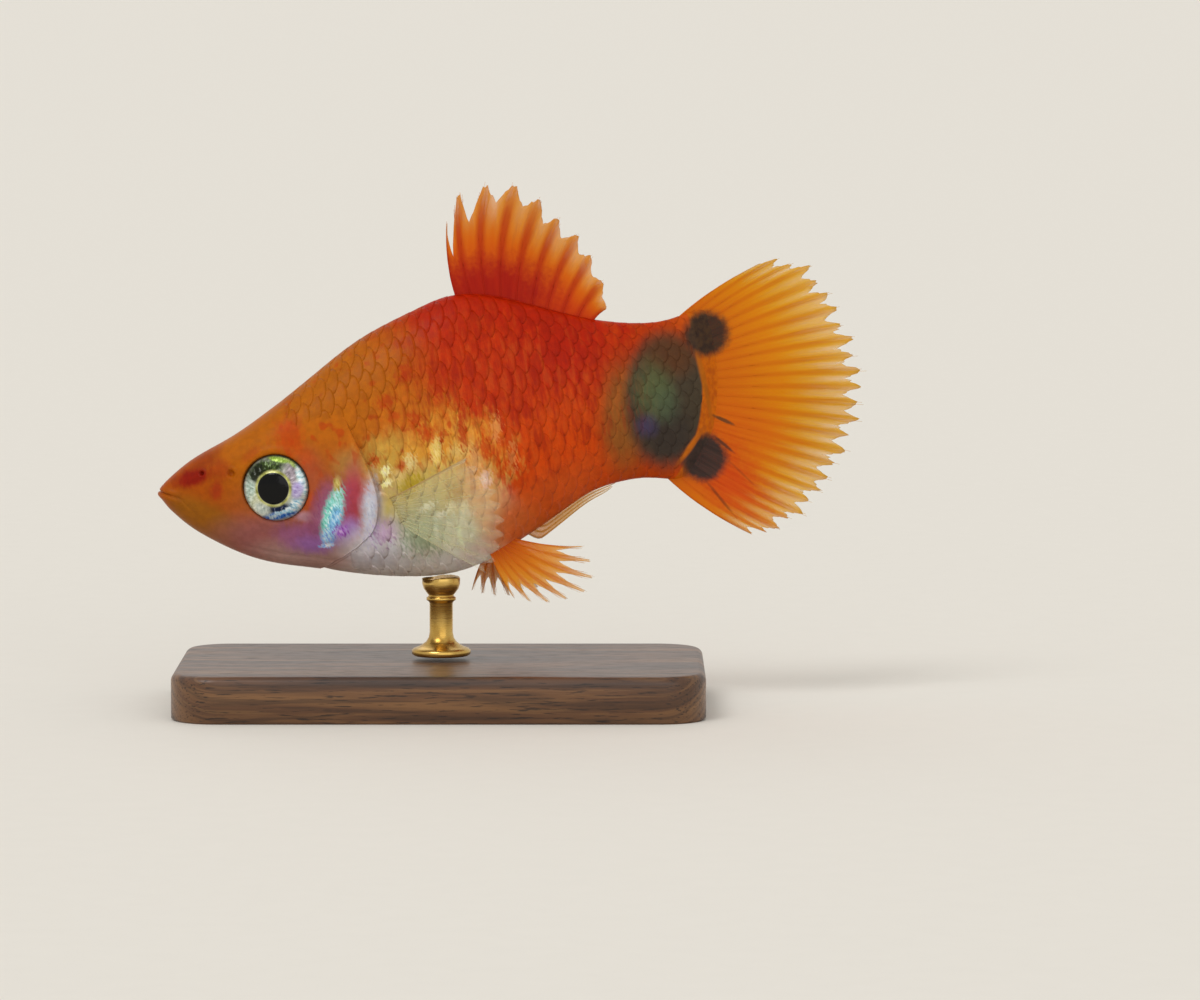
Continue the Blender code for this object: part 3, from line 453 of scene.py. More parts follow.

# Silver that shows through the skin in fine shreds, small flecks, and painted glints (highlights painted
# into the colour as bright marks), written in the same way.
SILVER_AND_GLINTS = [
    ("leaf shade", 10.85, -2.95, 1.0, 1.9, -28, 0.5, 0.6, 0.6, ("#8a4670", "#9c6e98")),
    ("gill leaf", 11.0, -3.1, 0.6, 1.65, -25, 0.35, 0.6, 1.0, ("#64a49c", "#7cd4c0", "#a4e4e0", "#ecfafa")),
    ("leaf blue", 11.05, -3.6, 0.36, 1.2, -22, 0.6, 1.0, 0.9, ("#5c9cd4", "#8cc4f4", "#c4e6fc")),
    ("gill leaf top", 11.6, -2.0, 0.32, 0.65, -14, 0.4, 1.1, 1.0, ("#86a878", "#90d4cc", "#d0eef0")),
    ("gill leaf toe", 10.35, -4.45, 0.32, 0.5, -22, 0.5, 0.8, 0.9, ("#8c84e0", "#90ccf0", "#e4f4fc")),
    ("gill gold", 11.65, -1.2, 0.22, 0.42, -12, 0.6, 1.2, 0.95, ("#a08430", "#d8cc7c")),
    ("gill foot", 10.25, -5.05, 0.42, 0.14, -2, 0.5, 1.6, 1.0, ("#84a8e8", "#d0e6fc", "#f8fcff")),
    ("gill magenta", 11.3, -4.25, 0.45, 0.34, 10, 0.6, 1.8, 0.85, ("#8c34a0", "#b070d0", "#dcc0f0")),
    ("pearl streaks", 13.45, -3.2, 0.36, 1.35, -14, 0.8, 1.8, 0.75, ("#b4b8cc", "#ccd6e4", "#e4ecf4")),
    ("pearl low", 13.2, -4.9, 0.6, 0.8, -12, 0.7, 1.6, 0.55, ("#c4bcdc", "#e0e0f0")),
    # The next four are painted glints: highlights painted into the colour.
    ("glint one", 14.85, -0.93, 0.27, 0.36, -10, 0.4, 1.8, 1.0, ("#f0e484", "#fffbd4")),
    ("glint two", 14.8, -1.68, 0.36, 0.24, 10, 0.4, 1.8, 1.0, ("#f0e07c", "#fff8cc")),
    ("glint three", 18.1, -0.3, 0.34, 0.9, -8, 0.5, 2.2, 0.9, ("#dcb044", "#f4e494")),
    ("gold glint", 19.5, -0.5, 0.7, 0.5, 0, 0.5, 2.4, 0.85, ("#dca23c", "#f0d07c")),
    ("pale shoulder", 15.6, -1.35, 0.5, 0.4, 0, 0.6, 1.6, 0.8, "#dcbc74"),
    # A painted glint: a highlight painted into the colour.
    ("pale glint", 16.4, -0.6, 0.36, 0.5, -10, 0.5, 2.4, 0.8, ("#d8b868", "#f4e8a8")),
    ("shoulder amber", 16.35, -1.9, 0.6, 0.5, 0, 0.6, 2.0, 0.8, ("#a88c10", "#c0a020")),
    # Painted glints on the belly: highlights painted into the colour.
    ("belly glint one", 16.95, -3.65, 0.5, 0.22, 20, 0.5, 2.6, 0.8, "#eeeccc"),
    ("belly glint two", 17.65, -4.35, 0.4, 0.2, 20, 0.5, 2.6, 0.8, "#eeecd4"),
    ("belly glint three", 17.25, -5.35, 0.14, 0.6, -6, 0.5, 1.6, 0.8, "#eaecd4"),
    ("belly glint four", 18.4, -3.9, 0.4, 0.24, 10, 0.5, 2.6, 0.8, "#eee6b8"),
    ("belly glint five", 19.2, -4.0, 0.3, 0.36, 0, 0.5, 2.6, 0.75, "#ecdcac"),
    ("belly bronze", 18.9, -3.1, 0.5, 0.6, 0, 0.6, 2.4, 0.75, "#b07c1c"),
    ("belly streak", 18.65, -5.9, 0.13, 1.0, 2, 0.6, 1.4, 0.85, "#dfe6b8"),
    ("belly green", 16.4, -5.4, 1.3, 1.1, 0, 0.7, 2.2, 0.7, ("#8c9c7a", "#b0c094")),
    ("breast pink", 13.95, -5.0, 0.6, 0.6, 0, 0.6, 2.2, 0.75, ("#b890b8", "#d8bcd8")),
    ("rose fleck", 20.8, -2.6, 0.34, 0.45, -10, 0.5, 2.4, 0.8, ("#e8b898", "#f4dcd0")),
    ("belly peach", 20.3, -1.4, 0.4, 0.8, -6, 0.6, 2.4, 0.6, ("#dc9c54", "#e8b878")),
    ("peach fleck", 21.95, 0.4, 0.3, 0.7, -10, 0.5, 2.6, 0.6, "#e49450"),
    ("peach streak", 22.7, -1.5, 0.25, 0.8, -10, 0.5, 2.6, 0.55, "#e08c48"),
    ("red fleck one", 14.2, -0.15, 0.32, 0.36, 0, 0.6, 1.6, 0.8, "#b83a08"),
    ("red fleck two", 15.85, -0.75, 0.3, 0.3, 0, 0.6, 1.6, 0.8, "#bc4408"),
    ("red fleck three", 17.15, 1.9, 0.36, 0.5, 0, 0.6, 1.8, 0.8, "#b83800"),
    ("red fleck four", 17.75, 1.0, 0.45, 0.5, 0, 0.6, 1.8, 0.8, "#c03c00"),
    ("red fleck five", 15.55, 3.4, 0.45, 0.4, 20, 0.6, 1.8, 0.7, "#b03400"),
    ("red fleck six", 17.15, 4.95, 0.45, 0.5, 0, 0.6, 1.8, 0.7, "#ac3000"),
    ("red fleck seven", 18.85, 3.9, 0.4, 0.8, 0, 0.6, 1.8, 0.8, "#b02c00"),
    ("red fleck eight", 21.15, -0.5, 0.4, 0.7, 0, 0.6, 1.8, 0.8, "#c43c00"),
    ("red streak one", 19.9, 0.9, 0.25, 1.3, -4, 0.6, 1.8, 0.8, "#b82e00"),
    ("red streak two", 21.3, 1.9, 0.25, 0.9, -4, 0.6, 1.6, 0.6, "#ba3000"),
]

# The small spots and lines where the tail fin begins, on both the skin and the fin.
FIN_ROOT_MARKINGS = [
    ("root line", 35.95, 0.7, 0.2, 2.5, 4, 0.5, 0.15, 0.9, "#a85a08"),
    ("upper ear spot", 36.75, 3.78, 1.6, 1.45, 0, 0.24, 0.3, 1.0, ("#36261e", "#44301f")),
    ("lower ear spot", 35.2, -4.1, 1.6, 1.5, 0, 0.24, 0.3, 1.0, ("#322824", "#40302a")),
    ("root corner line", 34.4, -3.12, 1.35, 0.2, 43, 0.5, 0.15, 0.95, "#b8600c"),
    ("dash", 36.95, -1.95, 0.75, 0.12, -34, 0.4, 0.5, 0.9, "#5a3a1c"),
    ("lower dash", 36.7, -3.5, 0.8, 0.1, -50, 0.4, 0.5, 0.8, "#4a3020"),
]


def rag(tree, where):
    """The cloud that makes the markings' edges ragged, with lumps of 1 mm and of 0.28 mm."""
    large = add(tree, "TexNoise", {"Vector": where, "Scale": 1.0, **CLOUD})
    small = add(tree, "TexNoise", {"Vector": where, "Scale": 1 / 0.28, **CLOUD})
    return add(tree, "Mix", {0: 0.5, 2: large, 3: small})


def within(tree, flat, s, h, length, height, tilt, soft, ragged=0.0, cloud=0.5, strength=1.0):
    """The share that a marking has: an oval with a soft edge, made ragged by a cloud."""
    # The gradient runs out well past the oval, which leaves room for its ragged edge.
    field = 2.5 + ragged
    inside = add(tree, "Mapping", {
        "Vector": flat,
        "Location": (s, h, 0),
        "Rotation": (0, 0, math.radians(tilt)),
        "Scale": (length * field, height * field, 1),
    }, vector_type="TEXTURE")
    near = add(tree, "TexGradient", (inside,), out="Fac", gradient_type="SPHERICAL")
    reach = add(tree, "Math", (near, -field, field), operation="MULTIPLY_ADD")
    if ragged:
        reach = add(tree, "Math", (cloud, 2 * ragged, reach), operation="MULTIPLY_ADD")
    return add(tree, "MapRange", (reach, 1 + soft + ragged, 1 - soft + ragged, 0.0, strength), **SMOOTH)


def paint_markings(tree, flat, laid, markings, cloud, fine):
    """Lays the markings one after another over what is there. Several colours mottle through fine."""
    for _, s, h, length, height, tilt, soft, ragged, strength, codes in markings:
        share = within(tree, flat, s, h, length, height, tilt, soft, ragged, cloud, strength)
        several = isinstance(codes, tuple)
        over = add(tree, "ValToRGB", (fine,), stops=spread(codes)) if several else colour(codes)
        laid = add(tree, "Mix", {0: share, 6: laid, 7: over}, 2, **RGBA)
    return laid


def flecks(tree, where, laid, region, size, strength, code):
    """Small ragged spots of one colour in a region, each about size millimetres across."""
    moved = add(tree, "VectorMath", (where, (1, 0.7, 1), (31.0, 7.0, 3.0)), operation="MULTIPLY_ADD")
    lumps = add(tree, "TexNoise", {"Vector": moved, "Scale": 1 / size, "Detail": 1.5, "Roughness": 0.55})
    spots = add(tree, "MapRange", (lumps, 0.58, 0.7, 0.0, strength), **SMOOTH)
    share = add(tree, "Math", (spots, region), operation="MULTIPLY")
    return add(tree, "Mix", {0: share, 6: laid, 7: colour(code)}, 2, **RGBA)


# The iris, written in the same way, in millimetres backwards and up from the eye's middle.
IRIS = [
    ("front", -1.6, -0.1, 0.5, 1.2, 0, 0.5, 0.4, 0.9, ("#8fa090", "#b4ccc0", "#d8e8dc")),
    ("front gold", -1.3, -0.75, 0.4, 0.7, -20, 0.6, 0.8, 0.8, ("#b8b890", "#e4e4c4")),
    ("crown", -0.35, 1.4, 1.5, 0.62, 12, 0.5, 0.6, 1.0, ("#141a0c", "#2e3c14", "#4c6422")),
    ("crown shade", -0.9, 1.15, 0.55, 0.45, 30, 0.5, 0.4, 0.9, ("#16180e", "#24281a")),
    ("rear inner", 1.2, 0.6, 0.42, 0.95, -10, 0.5, 0.4, 0.95, ("#6c6468", "#8c8088", "#a4969e")),
    ("crown arc", 0.75, 1.74, 0.8, 0.15, -20, 0.5, 0.4, 0.95, ("#74922c", "#9cbc4c", "#c8dc78")),
    ("rear arc", 1.52, 1.3, 0.6, 0.13, -47, 0.5, 0.4, 0.95, ("#98ac50", "#c8dc84")),
    ("rear rim", 1.85, 0.2, 0.24, 1.1, 6, 0.4, 0.6, 1.0, ("#9cc4cc", "#cce8ec", "#f4fcfc")),
    ("rear lilac", 1.5, -0.35, 0.32, 0.6, -20, 0.5, 0.5, 0.9, ("#a08cc8", "#c4b8e4")),
    ("low rear", 1.1, -1.35, 0.6, 0.36, 38, 0.5, 0.8, 1.0, ("#7cb0d8", "#c4e8f4", "#ffffff")),
    ("foot", 0.1, -1.3, 0.75, 0.3, 0, 0.5, 0.6, 1.0, ("#0c1430", "#1c2c54")),
    ("foot rim", -0.1, -1.78, 1.15, 0.24, 0, 0.4, 0.6, 1.0, ("#1c4cb0", "#3c7ce0", "#84bcf4")),
    ("foot specks", 0.3, -1.6, 0.7, 0.16, 12, 0.5, 2.4, 1.0, ("#84c8ec", "#f0fcff")),
    ("low front", -1.05, -1.2, 0.5, 0.4, -40, 0.5, 0.6, 0.9, ("#a4b4b0", "#e4eae0")),
]


def pigment(tree, lay, flat, cloud, fine):
    """The colours that skin and scales share: ground, markings, flecks, streaks, silver and painted glints.
    """
    laid = paint_markings(tree, flat, colour(GROUND), MARKINGS, cloud, fine)
    nape = within(tree, flat, 14.5, 3.6, 6.5, 3.6, 20, 0.4)
    laid = flecks(tree, lay, laid, nape, 0.75, 0.6, "#ad3200")
    shoulder = within(tree, flat, 18.5, 0.6, 3.6, 1.8, 0, 0.5)
    laid = flecks(tree, lay, laid, shoulder, 0.6, 0.8, "#b83a00")
    # Upright streaks about 0.4 mm wide where the columns of scales overlap on the flank.
    tall = add(tree, "VectorMath", (lay, (1.0, 0.2, 0.4)), operation="MULTIPLY")
    streaks = add(tree, "TexNoise", {"Vector": tall, "Scale": 1 / 0.38, "Detail": 2.0, "Roughness": 0.6})
    flank = within(tree, flat, 23.0, 2.0, 7.6, 5.4, -10, 0.4)
    for first, last, strength, code in ((0.5, 0.64, 0.5, "#981400"), (0.49, 0.36, 0.26, "#cc561a")):
        share = add(tree, "MapRange", (streaks, first, last, 0.0, strength), **SMOOTH)
        share = add(tree, "Math", (share, flank), operation="MULTIPLY")
        laid = add(tree, "Mix", {0: share, 6: laid, 7: colour(code)}, 2, **RGBA)
    # Silver that shows through, and painted glints: shreds about 0.14 mm wide, longest up and down.
    slanted = add(tree, "Mapping", {
        "Vector": flat,
        "Rotation": (0, 0, 0.3),
        "Scale": (1, 3, 1),
    }, vector_type="TEXTURE")
    shreds = add(tree, "TexNoise", {"Vector": slanted, "Scale": 1 / 0.14, "Detail": 2.0, "Roughness": 0.6})
    return paint_markings(tree, flat, laid, SILVER_AND_GLINTS, shreds, shreds)


def scale_edges(tree, laid, mottled, height):
    """Each scale's darker rear edge, its own tone and its arcs of growth. Real arcs, about 0.02 mm
    apart, wouldn't show, so they are drawn about 0.1 mm apart."""
    scale = add(tree, "Attribute", out="Vector", attribute_name="scale")
    along, tone = (add(tree, "SeparateXYZ", (scale,), out) for out in (1, 2))
    edge = add(tree, "MapRange", (along, 0.5, 0.98, 0.0, 0.12), **SMOOTH)
    laid = add(tree, "Mix", {0: edge, 6: laid, 7: colour("#b86450")}, 2, blend_type="MULTIPLY", **RGBA)
    tone = add(tree, "Math", (tone, 0.12, 0.94), operation="MULTIPLY_ADD")
    mottled = add(tree, "Math", (mottled, tone), operation="MULTIPLY")
    middle = add(tree, "VectorMath", (scale, (0.8, 1, 0)), operation="MULTIPLY")
    away = add(tree, "VectorMath", (middle,), out="Value", operation="LENGTH")
    turns = add(tree, "Math", (away, 70.0), operation="MULTIPLY")
    arcs = add(tree, "Math", (turns,), operation="SINE")
    return laid, mottled, add(tree, "Math", (arcs, 0.12, height), operation="MULTIPLY_ADD")


def painted_edge_shade(tree, flat, laid, from_gill):
    """Painted shade: in the slit behind the gill cover, and round the rim of the eye's socket, strongest
    above.
    """
    up = add(tree, "SeparateXYZ", (flat,), out=1)
    # Painted shade in the slit just behind the gill cover's edge, fading towards the top of the head.
    opens = add(tree, "MapRange", (from_gill, -0.01, 0.0), **SMOOTH)
    closes = add(tree, "MapRange", (from_gill, 0.24, 0.06), **SMOOTH)
    below = add(tree, "MapRange", (up, 1.6, 0.4, 0.0, 0.3), **SMOOTH)
    slit = add(tree, "Math", (opens, closes), operation="MULTIPLY")
    slit = add(tree, "Math", (slit, below), operation="MULTIPLY")
    laid = add(tree, "Mix", {0: slit, 6: laid, 7: colour("#54201c")}, 2, **RGBA)
    # Painted shade round the eye's socket, stronger towards its top.
    socket = add(tree, "VectorMath", (flat, (*EYE_AT, 0)), out="Value", operation="DISTANCE")
    dark = add(tree, "MapRange", (socket, EYE_RADIUS + 0.14, EYE_RADIUS - 0.02), **SMOOTH)
    shade_above = add(tree, "MapRange", (up, EYE_AT[1] - 1.2, EYE_AT[1] + 1.4, 0.12, 0.75), **SMOOTH)
    dark = add(tree, "Math", (dark, shade_above), operation="MULTIPLY")
    return add(tree, "Mix", {0: dark, 6: laid, 7: colour("#2a1c12")}, 2, **RGBA)


def skin_finish(name, on_scales):
    """Live fish skin: a clear wet layer, which gives a low soft sheen, over pigment and silver, with painted
    glints and painted shade.
    """
    made, tree, shader = new_finish(name, {
        "IOR": 1.38, "Specular IOR Level": 0.13,
        "Coat Weight": 0.04, "Coat Roughness": 0.2, "Coat IOR": 1.38,
        "Subsurface Weight": 0.1, "Subsurface Radius": (1.0, 0.4, 0.2), "Subsurface Scale": 0.0005,
    })
    lay, flat = place_of(tree)
    # Pigment gathers in clouds of about 0.4 mm, and the skin is pitted at about 0.16 mm.
    fine = add(tree, "TexNoise", {"Vector": lay, "Scale": 1 / 0.4, **CLOUD})
    grit = add(tree, "TexNoise", {"Vector": lay, "Scale": 1 / 0.16, "Detail": 2.0, "Roughness": 0.55})
    height = add(tree, "Math", (grit, 0.35), operation="MULTIPLY")
    cloud = rag(tree, add(tree, "VectorMath", (flat, (1.0, 0.36, 1.0)), operation="MULTIPLY"))
    laid = pigment(tree, lay, flat, cloud, fine)
    if not on_scales:
        seams = add(tree, "Attribute", out="Vector", attribute_name="seams")
        from_gill, from_fin = (add(tree, "SeparateXYZ", (seams,), out) for out in (0, 1))
        past = add(tree, "MapRange", (from_fin, -0.02, 0.18), **SMOOTH)
        root = add(tree, "ValToRGB", (fine,), stops=spread(("#b65400", "#c06200")))
        laid = add(tree, "Mix", {0: past, 6: laid, 7: root}, 2, **RGBA)
    laid = paint_markings(tree, flat, laid, FIN_ROOT_MARKINGS, cloud, fine)
    mottled = add(tree, "MapRange", (fine, 0.34, 0.66, 0.93, 1.07), **SMOOTH)
    if on_scales:
        laid, mottled, height = scale_edges(tree, laid, mottled, height)
    else:
        # Painted shade in the gill slit and round the eye's socket.
        laid = painted_edge_shade(tree, flat, laid, from_gill)
    laid = add(tree, "HueSaturation", {"Color": laid, "Value": mottled})
    silver = within(tree, flat, 15.8, -4.4, 6.0, 3.6, 4, 0.5, 0.2, cloud, 0.3)
    rough = add(tree, "MapRange", (fine, 0.3, 0.7, 0.4, 0.52), **SMOOTH)
    bumps = add(tree, "Bump", {"Strength": 0.35, "Distance": 0.00003, "Height": height})
    feed(tree, shader, {"Base Color": laid, "Metallic": silver, "Roughness": rough, "Normal": bumps})
    return made


def eye_finish(name):
    """A fish's eye: a black pupil in a thin gold ring, on silver that glints blue and green."""
    made, tree, shader = new_finish(name, {
        "IOR": 1.38, "Specular IOR Level": 0.25,
        "Coat Weight": 0.12, "Coat Roughness": 0.03, "Coat IOR": 1.38,
    })
    iris = add(tree, "Attribute", out="Vector", attribute_name="iris")
    flat = add(tree, "VectorMath", (iris, (1, 1, 0)), operation="MULTIPLY")
    up = add(tree, "SeparateXYZ", (iris,), out=1)
    cloud = add(tree, "TexNoise", {"Vector": iris, "Scale": 1 / 0.5, **CLOUD})
    reach = add(tree, "VectorMath", (flat,), out="Value", operation="LENGTH")
    heading = add(tree, "VectorMath", (flat,), operation="NORMALIZE")
    radial = add(tree, "VectorMath", (heading, (1.3, 1.3, 0), flat), operation="MULTIPLY_ADD")
    spokes = add(tree, "TexNoise", {"Vector": radial, "Scale": 1 / 0.3, "Detail": 2.0, "Roughness": 0.55})
    laid = paint_markings(tree, flat, colour("#b4b8aa"), IRIS, cloud, spokes)
    for first, last, strength, code in ((0.55, 0.75, 0.2, "#ffffff"), (0.42, 0.3, 0.16, "#2c2c26")):
        share = add(tree, "MapRange", (spokes, first, last, 0.0, strength), **SMOOTH)
        laid = add(tree, "Mix", {0: share, 6: laid, 7: colour(code)}, 2, **RGBA)
    # Painted shade round the iris's outer edge, strongest at the top, as under the socket's upper edge.
    rim = add(tree, "MapRange", (reach, EYE_RADIUS - 0.14, EYE_RADIUS - 0.01), **SMOOTH)
    upper = add(tree, "MapRange", (up, -0.8, 1.4, 0.08, 0.9), **SMOOTH)
    rim = add(tree, "Math", (rim, upper), operation="MULTIPLY")
    laid = add(tree, "Mix", {0: rim, 6: laid, 7: colour("#20201a")}, 2, **RGBA)
    away = add(tree, "VectorMath", (flat, (*PUPIL_OFFSET, 0)), out="Value", operation="DISTANCE")
    outer = add(tree, "MapRange", (away, PUPIL_RADIUS + 0.25, PUPIL_RADIUS + 0.08), **SMOOTH)
    inner = add(tree, "MapRange", (away, PUPIL_RADIUS - 0.02, PUPIL_RADIUS + 0.04), **SMOOTH)
    ring = add(tree, "Math", (outer, inner), operation="MULTIPLY")
    gold = add(tree, "ValToRGB", (cloud,), stops=spread(("#7c7c34", "#b8b868", "#d8d89c")))
    laid = add(tree, "Mix", {0: ring, 6: laid, 7: gold}, 2, **RGBA)
    pupil = add(tree, "MapRange", (away, PUPIL_RADIUS + 0.03, PUPIL_RADIUS - 0.03), **SMOOTH)
    laid = add(tree, "Mix", {0: pupil, 6: laid, 7: colour("#030303")}, 2, **RGBA)
    metal = add(tree, "MapRange", (pupil, 1.0, 0.0, 0.0, 0.5), **SMOOTH)
    rough = add(tree, "MapRange", (pupil, 0.0, 1.0, 0.3, 0.08), **SMOOTH)
    bumps = add(tree, "Bump", {"Strength": 0.15, "Distance": 0.00004, "Height": spokes})
    feed(tree, shader, {"Base Color": laid, "Metallic": metal, "Roughness": rough, "Normal": bumps})
    return made


def fin_finish(
    name, codes, ray_code, alphas, markings=(), on_ray=False, gaps=0.5, leading=None, rays=0.75,
):
    """A fin's thin wet membrane, or a ray in it. codes are colours from root to tip, and alphas how
    solid it is there. ray_code gathers along each ray by the share in rays, and leading is the first
    ray's own colour. Between the rays the membrane pales towards its edge and thins out by the share
    in gaps."""
    made, tree, shader = new_finish(name, {
        "IOR": 1.38, "Specular IOR Level": 0.16, "Roughness": 0.5,
        "Subsurface Weight": 0.08, "Subsurface Radius": (1.0, 0.45, 0.15), "Subsurface Scale": 0.0005,
    })
    _, flat = place_of(tree)
    fin = add(tree, "Attribute", out="Vector", attribute_name="fin")
    ray, out = (add(tree, "SeparateXYZ", (fin,), axis) for axis in (0, 1))
    stretched = add(tree, "VectorMath", (fin, (3.0, 2.2, 0)), operation="MULTIPLY")
    strands = add(tree, "TexNoise", {"Vector": stretched, "Scale": 1.0, **CLOUD})
    cloud = rag(tree, flat)
    uneven = add(tree, "Math", (strands, 0.5), operation="SUBTRACT")
    along = add(tree, "Math", (uneven, 0.25, out), operation="MULTIPLY_ADD")
    laid = add(tree, "ValToRGB", (along,), stops=spread(codes, 0.0, 1.0))
    off_ray = add(tree, "Math", (ray, 0.5), operation="PINGPONG")
    gather = 0.94 * rays if on_ray else add(tree, "MapRange", (off_ray, 0.34, 0.04, 0.0, rays), **SMOOTH)
    fades = add(tree, "MapRange", (out, 1.0, 0.6, 0.25, 1.0), **SMOOTH)
    gather = add(tree, "Math", (gather, fades), operation="MULTIPLY")
    laid = add(tree, "Mix", {0: gather, 6: laid, 7: colour(ray_code)}, 2, **RGBA)
    share = add(tree, "MapRange", (strands, 0.55, 0.72, 0.0, 0.35), **SMOOTH)
    laid = add(tree, "Mix", {0: share, 6: laid, 7: colour(ray_code)}, 2, **RGBA)
    laid = paint_markings(tree, flat, laid, markings, cloud, strands)
    alpha = add(tree, "MapRange", (along, 0.55, 1.05, *alphas), **SMOOTH)
    outer = add(tree, "MapRange", (along, 0.45, 0.95), **SMOOTH)
    between = add(tree, "MapRange", (off_ray, 0.12, 0.48, 0.0, -gaps), **SMOOTH)
    ragged = add(tree, "MapRange", (strands, 0.58, 0.4, 0.0, -0.35), **SMOOTH)
    thin = add(tree, "Math", (between, ragged), operation="ADD")
    thin = add(tree, "Math", (thin, outer, 1.0), operation="MULTIPLY_ADD")
    alpha = add(tree, "Math", (alpha, thin), operation="MULTIPLY", use_clamp=True)
    light = add(tree, "MapRange", (off_ray, 0.1, 0.45, 0.0, 0.65), **SMOOTH)
    light = add(tree, "Math", (light, outer), operation="MULTIPLY")
    laid = add(tree, "Mix", {0: light, 6: laid, 7: colour(codes[-1])}, 2, **RGBA)
    if leading:
        first = add(tree, "MapRange", (ray, 0.3, 0.1, 0.0, 0.6), **SMOOTH)
        laid = add(tree, "Mix", {0: first, 6: laid, 7: colour(leading)}, 2, **RGBA)
        alpha = add(tree, "Math", (alpha, first), operation="MAXIMUM")
    for _, s, h, length, height, tilt, soft, ragged, strength, _ in markings:
        share = within(tree, flat, s, h, length, height, tilt, soft, ragged, cloud, strength)
        alpha = add(tree, "Math", (alpha, share), operation="MAXIMUM")
    # Rays are jointed, about every 0.25 mm in the back fin and every 0.5 mm in the tail fin.
    joints = add(tree, "Math", (out, 150.0), operation="MULTIPLY")
    joints = add(tree, "Math", (joints,), operation="SINE")
    height = add(tree, "Math", (joints, 0.15 if on_ray else 0.0, strands), operation="MULTIPLY_ADD")
    bumps = add(tree, "Bump", {"Strength": 0.3, "Distance": 0.00004, "Height": height})
    feed(tree, shader, {"Base Color": laid, "Alpha": alpha, "Normal": bumps})
    return made


def wood_finish(name):
    """Oiled walnut: dark figure along the board, fine growth lines, short open pores, a soft sheen."""
    made, tree, shader = new_finish(name, {"Coat Weight": 0.15, "Coat Roughness": 0.25})
    where = add(tree, "TexCoord", out="Object")
    # Each layer is a cloud drawn out along the board and along the growth rings, which run slanted
    # through it: its length, its run within a ring and its width, in millimetres.
    layers = []
    for length, run, width in ((24.0, 9.0, 1.1), (9.0, 4.0, 0.3), (1.6, 0.12, 0.12)):
        drawn = add(tree, "Mapping", {
            "Vector": where,
            "Rotation": (math.radians(38), 0, 0),
            "Scale": (length * MM, run * MM, width * MM),
        }, vector_type="TEXTURE")
        layers.append(add(tree, "TexNoise", {"Vector": drawn, "Scale": 1.0, **CLOUD}))
    figure, lines, pores = layers
    laid = add(tree, "ValToRGB", (figure,), stops=spread(("#38210f", "#5c3a20", "#7a5430")))
    for layer, first, last, strength, code in (
        (lines, 0.5, 0.62, 0.5, "#2e1a0e"),
        (lines, 0.46, 0.34, 0.35, "#8a6238"),
        (pores, 0.56, 0.66, 0.8, "#1e1108"),
    ):
        share = add(tree, "MapRange", (layer, first, last, 0.0, strength), **SMOOTH)
        laid = add(tree, "Mix", {0: share, 6: laid, 7: colour(code)}, 2, **RGBA)
    rough = add(tree, "MapRange", (pores, 0.5, 0.7, 0.38, 0.55), **SMOOTH)
    bumps = add(tree, "Bump", {"Strength": 0.25, "Distance": 0.00004, "Height": pores}, invert=True)
    feed(tree, shader, {"Base Color": laid, "Roughness": rough, "Normal": bumps})
    return made


def brass_finish(name):
    """Turned, lacquered brass: warm metal with fine rings from the lathe, about 0.1 mm apart."""
    made, tree, shader = new_finish(name, {"Metallic": 1.0})
    where = add(tree, "TexCoord", out="Object")
    turned = add(tree, "VectorMath", (where, (60, 60, 9000)), operation="MULTIPLY")
    rings = add(tree, "TexNoise", {"Vector": turned, "Scale": 1.0, **CLOUD})
    soft = add(tree, "TexNoise", {"Vector": where, "Scale": 600, **CLOUD})
    tone = add(tree, "ValToRGB", (soft,), stops=spread(("#bd9244", "#cfa858", "#d8b466")))
    rough = add(tree, "MapRange", (rings, 0.3, 0.7, 0.2, 0.36), **SMOOTH)
    bumps = add(tree, "Bump", {"Strength": 0.2, "Distance": 0.00002, "Height": rings})
    feed(tree, shader, {"Base Color": tone, "Roughness": rough, "Normal": bumps})
    return made


def paper_finish(name):
    """Matt studio paper, almost even. Its tooth is too fine to show, so it is drawn at 2 mm."""
    made, tree, shader = new_finish(name, {"Roughness": 0.9})
    where = add(tree, "TexCoord", out="Object")
    tooth = add(tree, "TexNoise", {"Vector": where, "Scale": 1 / 0.002, **CLOUD})
    tone = add(tree, "ValToRGB", (tooth,), stops=spread(("#e4e0d8", "#e5e1d9")))
    feed(tree, shader, {"Base Color": tone})
    return made


# The skin

